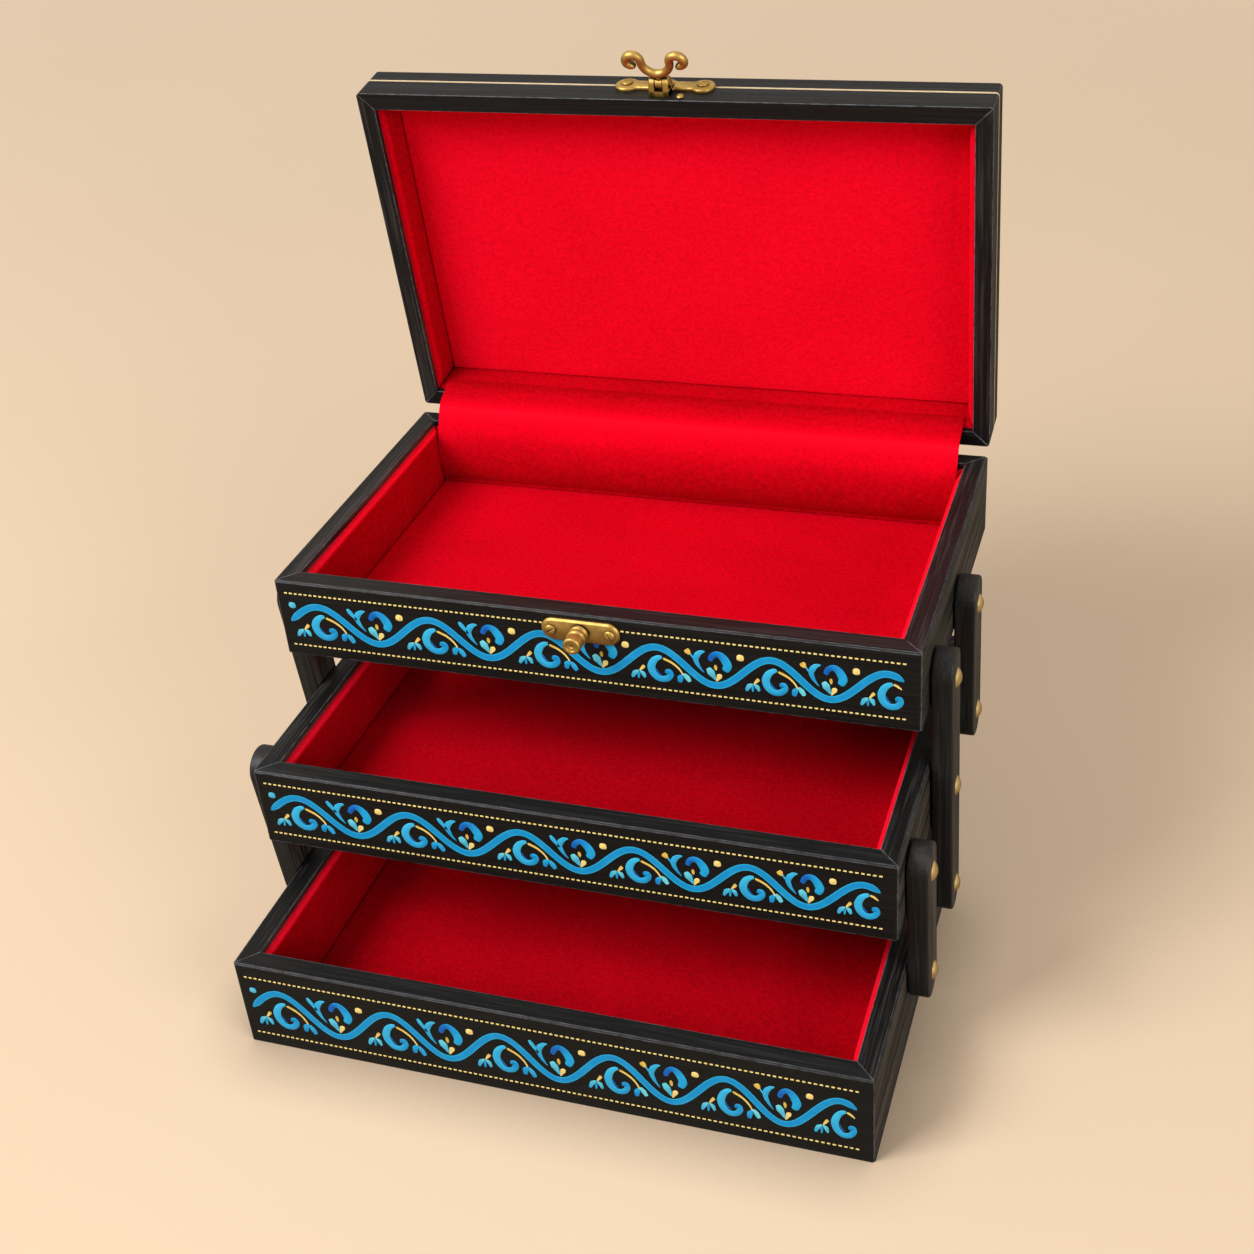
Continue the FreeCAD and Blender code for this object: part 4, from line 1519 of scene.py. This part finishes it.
@dataclass
class Latch:
    """Cast plate with its hinged, horned hasp on the lid's front, and the stud beside it."""

    length: float = 44.0
    lobe_radius: float = 5.2
    waist: float = 6.6
    centre_radius: float = 5.6
    thickness: float = 1.8
    rise: float = 12.0
    slots: Pair = (20.0, 0.0)
    stud_place: Pair = (9.0, 3.4)
    hasp_rise: float = 5.8
    standoff: float = 5.2
    ear_radius: float = 3.0
    ear_thickness: float = 2.4
    ear_play: float = 0.1
    eye_radius: float = 2.6
    eye_width: float = 3.6
    eye_edge: float = 0.3
    horn_radius: float = 1.8
    horn_growth: float = 0.12
    horn_start: float = 4.9
    horn_leg: float = 0.6
    inner_bend: float = 6.25
    curl: float = 3.2
    curl_end: float = 2.0
    rest_angle: float = 70.0

    def _half_height(self, x: float) -> float:
        """Half height of the plate's outline at a distance from its middle.

        Args:
            x: The distance.

        Returns:
            The half height.
        """
        lobe = self.length / 2 - self.lobe_radius
        heights = [self.waist / 2]
        for centre, radius in ((lobe, self.lobe_radius), (0.0, self.centre_radius)):
            heights.append(math.sqrt(max(0.0, radius * radius - (abs(x) - centre) ** 2)))
        return heights[1] if abs(x) > lobe else sum(h ** 10 for h in heights) ** 0.1

    def _plan(self, inset: float) -> list[Vector]:
        """Bow-tie outline drawn in by a distance.

        Args:
            inset: The distance drawn in.

        Returns:
            Points round the plate.
        """
        upper = []
        for angle in sweep(180, 72):
            x = -self.length / 2 * math.cos(angle)
            upper.append(Vector((x, self._half_height(x), 0)))
        loop = upper + [Vector((p.x, -p.y, 0)) for p in reversed(upper[1:-1])]
        drawn = []
        for i, p in enumerate(loop):
            along = loop[(i + 1) % len(loop)] - loop[i - 1]
            drawn.append(p + Vector((along.y, -along.x, 0)).normalized() * inset)
        return drawn

    def build(self, lid: Lid, screw: Mesh) -> None:
        """Make plate, screws, stud and hasp.

        Args:
            lid: The lid it sits on.
            screw: The screw head's mesh.
        """
        seat, top = lid.front(0, self.rise), self.thickness
        levels = [(0.0, 0.1), (top - 0.8, 0.0), (top - 0.35, 0.25), (top - 0.08, 0.65), (top, 1.1)]
        form = Form().slab(self._plan, levels)
        self._ears(form)
        add_brass("latch_backplate", form.data(seat), "lid", "latch_plate", "latch_pin")
        heads = screw_row(screw, seat, self.length - 2 * self.lobe_radius, top, self.slots)
        add_brass("latch_screw_heads", heads, "lid", "latch_screws")
        stud = Form().turn([(0.0, -1.0), (1.0, -1.0), (1.6, -0.1), (1.7, 0.35), (1.45, 0.85), (0.9, 1.12),
                            (0.0, 1.2)], 28)
        add_brass("latch_round_stud", stud.data(lid.front(*self.stud_place)), "lid", "latch_stud")
        self._hasp(lid)

    def _ears(self, form: Form) -> None:
        """Two ears on a foot below the plate, with the pin's heads outside them.

        Args:
            form: The plate's form.
        """
        drop, radius, thick = self.hasp_rise - self.rise, self.ear_radius, self.ear_thickness
        inner = self.eye_width / 2 + self.ear_play
        profile = [(0.0, 0.0), (radius, 0.0), (radius, thick - 0.4), (radius - 0.4, thick), (1.35, thick),
                   (1.3, thick + 0.3), (0.0, thick + 0.45)]
        foot = [(drop - radius, 0), (drop - radius, self.standoff), (drop + radius, self.standoff),
                (drop + radius + 2.0, self.thickness), (drop + radius + 2.0, 0)]
        for sign in (-1, 1):
            form.turn(profile, 32, shift(sign * inner, drop, self.standoff) @ spin(sign * 90, "Y"))
            form.bar(foot, (sign * inner, sign * (inner + thick)))
        under = self.standoff - self.eye_radius - 0.25
        form.bar([(drop - radius, 0), (drop - radius, under), (drop + 4.5, under),
                  (drop + 7.5, self.thickness), (drop + 7.5, 0)], (-inner - thick, inner + thick))

    def _horn(self) -> tuple[list[Vector], list[float]]:
        """Middle line and radii of the right horn, in X and Z below the pivot.

        Returns:
            The points and the radius at each.
        """
        spot, ahead = Vector((0, 0, -self.horn_start)), 0.0
        path = [spot]
        # Radius, turn in degrees and steps of each stretch; the straight leg has no radius.
        bends = ((self.inner_bend, -90, 14), (None, 0, 2), (self.curl, 180, 24), (self.curl_end, 140, 16))
        for radius, turn, steps in bends:
            step = math.radians(turn / steps)
            chord = 2 * radius * math.sin(abs(step) / 2) if radius else self.horn_leg / steps
            for _ in range(steps):
                middle = ahead + step / 2
                spot = spot + Vector((math.cos(middle), 0, math.sin(middle))) * chord
                ahead += step
                path.append(spot)
        last = len(path) - 1
        radii = []
        for index in range(last + 1):
            thick = self.horn_radius + self.horn_growth * unit(3.5 * index / last - 1.0)
            radii.append(max(0.05, thick * rounded((last - index) / 4)))
        return path, radii

    def _hasp(self, lid: Lid) -> None:
        """Hasp that hangs from its pivot while closed and stands out when the lid is open.

        Args:
            lid: The lid it hangs on.
        """
        path, radii = self._horn()
        across = Vector((0, 1, 0))
        form = Form().tube(path, radii, across)
        form.tube([Vector((-p.x, p.y, p.z)) for p in path], radii, across)
        half, eye, edge = self.eye_width / 2, self.eye_radius, self.eye_edge
        form.turn([(0.0, -half), (eye - edge, -half), (eye, edge - half), (eye, half - edge),
                   (eye - edge, half), (0.0, half)], 32, spin(90, "Y"))
        form.loft([
            [Vector((wide * math.cos(a), deep * math.sin(a), z)) for a in sweep(360, 20)[:-1]]
            for z, wide, deep in ((-0.8, 1.6, 1.5), (-3.0, 1.45, 1.5), (-4.6, 1.7, 1.6), (-6.3, 1.2, 1.2))
        ])
        hang = shift(0, -lid.half_depth - self.standoff, lid.base + self.hasp_rise)
        pose = lid.open @ hang @ spin(-self.rest_angle, "X")
        add_brass("hasp_curled_horns", form.data(pose), "latch_hasp", "latch_hasp")


@dataclass
class Hinges:
    """Screw heads on the two butt hinges, whose leaves and pins stay as the nodes are."""

    spread: float = 160.0
    width: float = 27.0
    leaf: float = 1.2
    offset: float = 10.0

    def build(self, lid: Lid) -> None:
        """Finish the nodes and add three countersunk heads to each leaf.

        Args:
            lid: The lid.
        """
        paint_nodes(Finish.BRASS, "hinge_tray_leaves", "hinge_lid_leaves", "hinge_pins")
        profile = [(0.0, -0.4), (1.2, -0.4), (1.5, -0.02), (1.45, 0.12), (0.9, 0.3), (0.0, 0.36)]
        head = Form().turn(profile, 28).data()
        rim = corners("top_back_board")[1]
        tray_seat = shift(0, rim.y, rim.z - self.offset)
        lid_seat = lid.open @ shift(0, lid.half_depth, lid.base + self.offset)
        for name, body, seat in (("tray", "top_tray", tray_seat), ("lid", "lid", lid_seat)):
            pitch = self.width / 3
            halves = [repeated(head, Finish.BRASS, 3, (middle - pitch, 0, self.leaf), (pitch, 0, 0))
                      for middle in (-self.spread / 2, self.spread / 2)]
            screws = [seated(half, seat @ spin(-90, "X")) for half in halves]
            add_brass(f"hinge_{name}_screw_heads", joined(screws), body)


# Painted vine


@dataclass(frozen=True)
class Stroke:
    """One brush stroke: points in X and Y from a crest of the wave, its widths and its tones along it."""

    points: tuple[Pair, ...]
    widths: tuple[float, ...]
    tones: Pair = (0.0, 0.0)

    def draw(self, form: Form, thickness: float, stretch: float) -> None:
        """Add the stroke to a form as a low ribbon with slanted sides.

        Args:
            form: The form to add to.
            thickness: Height of the paint.
            stretch: Factor on the heights of the points.
        """
        path = smooth_path([Vector((x, y * stretch, 0)) for x, y in self.points], 7)
        last = len(path) - 1
        rings = []
        for index, spot in enumerate(path):
            t = index / last * (len(self.widths) - 1)
            step = min(int(t), len(self.widths) - 2)
            width = self.widths[step] + (self.widths[step + 1] - self.widths[step]) * (t - step)
            half = max(width / 2 * rounded((min(index, last - index) + 0.6) / 2.6), 0.03)
            along = heading(path, index)
            side = Vector((-along.y, along.x, 0)) * half
            top = spot + UP * thickness
            rings.append([spot - side, spot + side, top + side * 0.84, top - side * 0.84])

        def tone(index: int, _: Vector) -> float:
            """Share of the second tone: along the stroke, and more at the foot of its sides."""
            foot = 0.5 if index % 4 < 2 else 0.0
            return self.tones[0] + (self.tones[1] - self.tones[0]) * (index // 4 / last) + foot

        form.toned_loft(rings, "tone", tone)


@dataclass(frozen=True)
class Motif:
    """Strokes of each paint that repeat along the wave, from one of its crests on."""

    crest: int
    count: int
    strokes: dict[Finish, list[Stroke]]


DOT = (1.6, 2.5, 3.0, 3.2, 3.0, 2.5, 1.6)
UNDER_CREST = Motif(0, 6, {
    Finish.BLUE: [
        Stroke(((2.4, -4.7), (0.6, -5.1), (-1.6, -6.9), (-2.9, -10.0), (-2.1, -13.2), (0.5, -15.3),
                (3.8, -15.1), (5.8, -13.2), (5.6, -11.6), (4.4, -11.4), (3.9, -12.3)),
               (1.2, 2.3, 3.2, 3.7, 3.4, 3.0, 2.9, 2.8, 2.6, 2.1, 1.2), (1.1, -0.15)),
    ],
    Finish.DEEP_BLUE: [
        Stroke(((-0.7, -10.6), (0.2, -12.6), (1.7, -13.6)), (0.3, 0.7, 0.2)),
        Stroke(((-8.8, -12.9), (-9.1, -14.6), (-9.2, -16.3)), (0.6, 1.3, 0.7), (0.6, 0.9)),
    ],
    Finish.PALE_BLUE: [
        Stroke(((-8.9, -12.6), (-10.9, -13.9), (-12.2, -16.2)), (0.7, 2.3, 1.3), (0.0, 0.9)),
        Stroke(((-8.4, -12.7), (-7.0, -13.8), (-6.2, -15.7)), (0.7, 2.2, 1.2), (0.0, 0.8)),
    ],
    Finish.GOLD: [Stroke(((-6.1, -9.8), (-7.1, -10.9), (-8.5, -12.4)), (1.6, 1.5, 0.5), (0.8, 0.2))],
})
STEM = Motif(0, 5, {
    Finish.DEEP_BLUE: [Stroke(((11.7, -12.2), (10.4, -13.8), (10.0, -16.0)), (0.9, 2.8, 1.8), (1.0, 0.4))],
    Finish.GOLD: [
        Stroke(((2.9, -5.2), (6.9, -6.9), (9.9, -9.3), (11.8, -12.2)), (1.1, 1.0, 0.85, 0.6), (0.9, 0.1)),
    ],
})
IN_TROUGH = Motif(0, 5, {
    Finish.BLUE: [
        Stroke(((22.4, 0.6), (20.5, 0.0), (18.8, -1.5), (18.0, -3.7), (18.7, -6.0), (19.9, -7.9),
                (21.5, -9.7)), (0.4, 1.9, 2.8, 2.5, 1.9, 1.1, 0.2), (0.9, 0.1)),
    ],
    Finish.DEEP_BLUE: [
        Stroke(((24.4, -3.6), (25.6, -1.3), (27.7, -0.1), (29.8, -0.9), (31.5, -3.0), (32.3, -5.4),
                (31.0, -7.9)), (2.2, 2.6, 2.7, 3.4, 4.0, 4.0, 2.9), (-0.4, 1.5)),
    ],
    Finish.PALE_BLUE: [Stroke(((23.4, -7.3), (24.7, -9.4), (26.9, -13.0)), (2.0, 3.7, 0.3), (0.0, 0.7))],
    Finish.GOLD: [
        Stroke(((29.6, -10.2), (28.4, -10.9), (27.0, -13.4)), (0.9, 2.7, 0.3), (0.0, 0.5)),
        Stroke(((26.8, -5.4), (26.9, -6.6), (27.1, -7.9)), (0.8, 1.6, 0.6), (1.2, 1.2)),
    ],
})
EARLY = Motif(0, 3, {
    Finish.BLUE: [
        Stroke(((14.0, 0.9), (15.0, -0.6), (16.2, -2.2), (17.9, -4.4)), (1.0, 2.1, 1.8, 1.0), (1.0, 0.4)),
        Stroke(((12.1, -12.5), (13.4, -14.3), (14.7, -16.5)), (0.9, 2.6, 1.9), (0.7, 0.2)),
    ],
})
LATE = Motif(3, 2, {
    Finish.BLUE: [Stroke(((15.6, -1.4), (16.4, -2.6), (17.8, -4.4)), (0.7, 0.9, 0.9), (1.0, 0.4))],
    Finish.GOLD: [Stroke(((13.6, 0.6), (14.4, -0.3), (15.4, -1.6)), (2.2, 3.0, 1.2), (0.9, 0.9))],
    Finish.PALE_BLUE: [Stroke(((12.1, -12.5), (13.4, -14.3), (14.7, -16.5)), (0.9, 2.6, 1.9), (-0.3, 0.1))],
})
BEFORE_CREST = Motif(0, 5, {
    Finish.GOLD: [Stroke(((36.7, -0.6), (38.3, -0.6), (39.9, -0.6)), DOT, (0.0, 0.4))],
})
FIRST_DOT = Motif(0, 1, {
    Finish.PALE_BLUE: [Stroke(((-13.9, -0.4), (-12.3, -0.4), (-10.7, -0.4)), DOT, (0.2, 0.6))],
})
LAST_STEM = Motif(5, 1, {
    Finish.GOLD: [Stroke(((2.7, -5.4), (4.6, -6.3), (6.5, -7.8)), (1.1, 1.2, 0.3), (0.6, 0.2))],
})
MOTIFS = (UNDER_CREST, STEM, IN_TROUGH, EARLY, LATE, BEFORE_CREST, FIRST_DOT, LAST_STEM)


@dataclass(frozen=True)
class Vine:
    """Vine painted along a tray's front: a wave, its scrolls, buds and flowers, and two dashed lines."""

    period: float = 52.9
    tighten: float = 0.7
    narrow: float = 0.027
    first_crest: float = 19.4
    start: float = 5.0
    end: float = 272.8
    swing: float = 7.7
    band: float = 3.2
    core: float = 2.4
    taper: float = 3.0
    paint: float = 0.14
    depth: float = 19.0
    board_height: float = 37.0
    dash: float = 1.4
    dash_pitch: float = 2.35
    dash_width: float = 0.64
    dash_top: float = 5.7
    dash_bottom: float = 5.0

    def apply(self, tray: Tray) -> None:
        """Paint one tray's front.

        Args:
            tray: The tray.
        """
        size = tray.height / self.board_height
        seat = shift(-BOX_WIDTH / 2, tray.front, tray.seat.translation.z + tray.height) @ UPRIGHT

        def add(name: str, finish: Finish, layers: Sequence[Mesh]) -> None:
            """Join the layers of one paint and add them on the board."""
            add_piece(f"{tray.name}_{name}", seated(joined(layers), seat), finish, tray.body)

        for finish in (Finish.BLUE, Finish.DEEP_BLUE, Finish.PALE_BLUE, Finish.GOLD):
            add(finish.value.name, finish,
                [self._repeat(motif, finish, size) for motif in MOTIFS if finish in motif.strokes])
        for name, finish, width, height in (("vine_edge", Finish.PALE_RIM, self.band, 0.8 * self.paint),
                                            ("vine_wave", Finish.BLUE, self.core, self.paint)):
            add(name, finish, [self._ribbon(finish, width, height, size)])
        add("dashed_lines", Finish.GOLD, self._dashes(tray.height, size))

    def _repeat(self, motif: Motif, finish: Finish, size: float) -> Mesh:
        """A motif's strokes of one paint, set along the wave and closer and narrower with each crest.

        Args:
            motif: The motif.
            finish: The paint.
            size: Factor of this board's height.

        Returns:
            The mesh.
        """
        form = Form()
        for stroke in motif.strokes[finish]:
            stroke.draw(form, self.paint * (1.25 if finish is Finish.GOLD else 1.0), size)
        crest = motif.crest
        first = (self.first_crest + (self.period - self.tighten * crest) * crest,
                 (self.swing - self.depth) * size, 0)
        step = (self.period - 2 * self.tighten * crest, 0, 0)
        more = {"Size": 1.0 - self.narrow * crest, "Tighten": self.tighten * MM, "Narrow": self.narrow}
        return repeated(form.data(), finish, motif.count, first, step, more)

    def _ribbon(self, finish: Finish, width: float, height: float, size: float) -> Mesh:
        """The wave itself in one width.

        Args:
            finish: The paint.
            width: The ribbon's width.
            height: Height of the paint.
            size: Factor of this board's height.

        Returns:
            The mesh.
        """
        lengths = {"Start": self.start, "End": self.end, "Crest": self.first_crest, "Period": self.period,
                   "Tighten": self.tighten, "Swing": self.swing * size, "Middle": -self.depth * size,
                   "Width": width, "Thickness": 2 * height, "Taper": self.taper}
        values = {title: length * MM for title, length in lengths.items()}
        return wave_tool().run(bpy.data.meshes.new("empty"), finish, values | {"Steps": 320})

    def _dashes(self, board: float, size: float) -> list[Mesh]:
        """The two dashed lines.

        Args:
            board: The board's height.
            size: Factor of this board's height.

        Returns:
            The mesh of each line.
        """
        half, width = self.dash / 2, self.dash_width
        mark = Stroke(((-half, 0.0), (0.0, 0.0), (half, 0.0)), (width, width * 1.15, width))
        form = Form()
        mark.draw(form, self.paint, 1.0)
        dash = form.data()
        count = round((self.end - self.start) / self.dash_pitch) + 1
        return [repeated(dash, Finish.GOLD, count, (self.start, y, 0), (self.dash_pitch, 0, 0))
                for y in (-self.dash_top * size, self.dash_bottom * size - board)]


# Room


@dataclass(frozen=True)
class Studio:
    """Pale ground, soft lamps and the camera of the photograph."""

    lens: float = 51.896
    spot: Point = (0.23808534, -0.56296829, 0.57667044)
    azimuth: float = 20.8295
    elevation: float = 32.8633
    roll: float = -5.1364
    reach: float = 6000.0
    ground_depth: float = 20.0
    aim: Point = (0, 0.05, 0.15)
    sky: Colour = (0.93, 0.86, 0.78)

    def ground(self) -> None:
        """Floor that reaches past every view."""
        far, deep = self.reach, self.ground_depth
        data = Form().bar([(-far, -deep), (far, -deep), (far, 0), (-far, 0)], (-far, far)).data()
        data.materials.append(Finish.FLOOR.material())
        put("ground", data)

    def lamps(self) -> None:
        """Large soft key from the left, a weak fill from the right and a soft top lamp."""
        for name, place, size, power in (
            ("key", (-1.35, -1.3, 1.85), 1.2, 66.0),
            ("fill", (1.6, -1.0, 0.9), 1.2, 22.0),
            ("top", (-0.2, 0.9, 2.6), 2.4, 9.0),
        ):
            lamp = bpy.data.lights.new(name, "AREA")
            lamp.energy = power
            lamp.size = size
            holder = put(name, lamp)
            holder.location = place
            holder.rotation_euler = (Vector(self.aim) - Vector(place)).to_track_quat("-Z", "Y").to_euler()

    def world(self) -> None:
        """Even pale surroundings, at full strength only where the camera or a gloss looks at them."""
        world = bpy.data.worlds.new("studio")
        world.use_nodes = True
        bpy.context.scene.world = world
        pen = Pen(world.node_tree)
        strength = 0.24 + (pen.ray("Is Camera Ray") + pen.ray("Is Glossy Ray") * 0.8) * 0.6
        back = world.node_tree.nodes["Background"]
        back.inputs["Color"].default_value = (*self.sky, 1.0)
        pen.tree.links.new(strength.socket, back.inputs["Strength"])

    def camera(self) -> None:
        """Camera where the photograph was taken."""
        turn, rise = math.radians(self.azimuth), math.radians(self.elevation)
        ahead = Vector((-math.sin(turn) * math.cos(rise), math.cos(turn) * math.cos(rise), -math.sin(rise)))
        data = bpy.data.cameras.new("camera")
        data.lens = self.lens
        data.sensor_width = 36.0
        data.sensor_fit = "HORIZONTAL"
        holder = put("camera", data)
        level = ahead.to_track_quat("-Z", "Y").to_matrix().to_4x4()
        holder.matrix_world = Matrix.Translation(self.spot) @ level @ spin(self.roll, "Z")
        bpy.context.scene.camera = holder

    def build(self) -> None:
        """Set up everything round the box."""
        self.ground()
        self.lamps()
        self.world()
        self.camera()
        bpy.context.scene.view_settings.view_transform = "Standard"


def main() -> None:
    """Build the pieces in order."""
    logging.basicConfig(level=logging.INFO, format="%(message)s")
    Studio().build()
    # The lower trays' floor pads get more painted shade than the top tray's.
    trays = [Tray("bottom"), Tray("middle"), Tray("top", pad_painted_light=-0.15)]
    for tray in trays:
        tray.dress()
    lid = Lid()
    lid.dress()
    lid.strip()
    SideArms().build()
    screw = Screws().mesh()
    Catch().build(screw)
    Latch().build(lid, screw)
    Hinges().build(lid)
    for tray in trays:
        Vine().apply(tray)


if __name__ == "__main__":
    main()
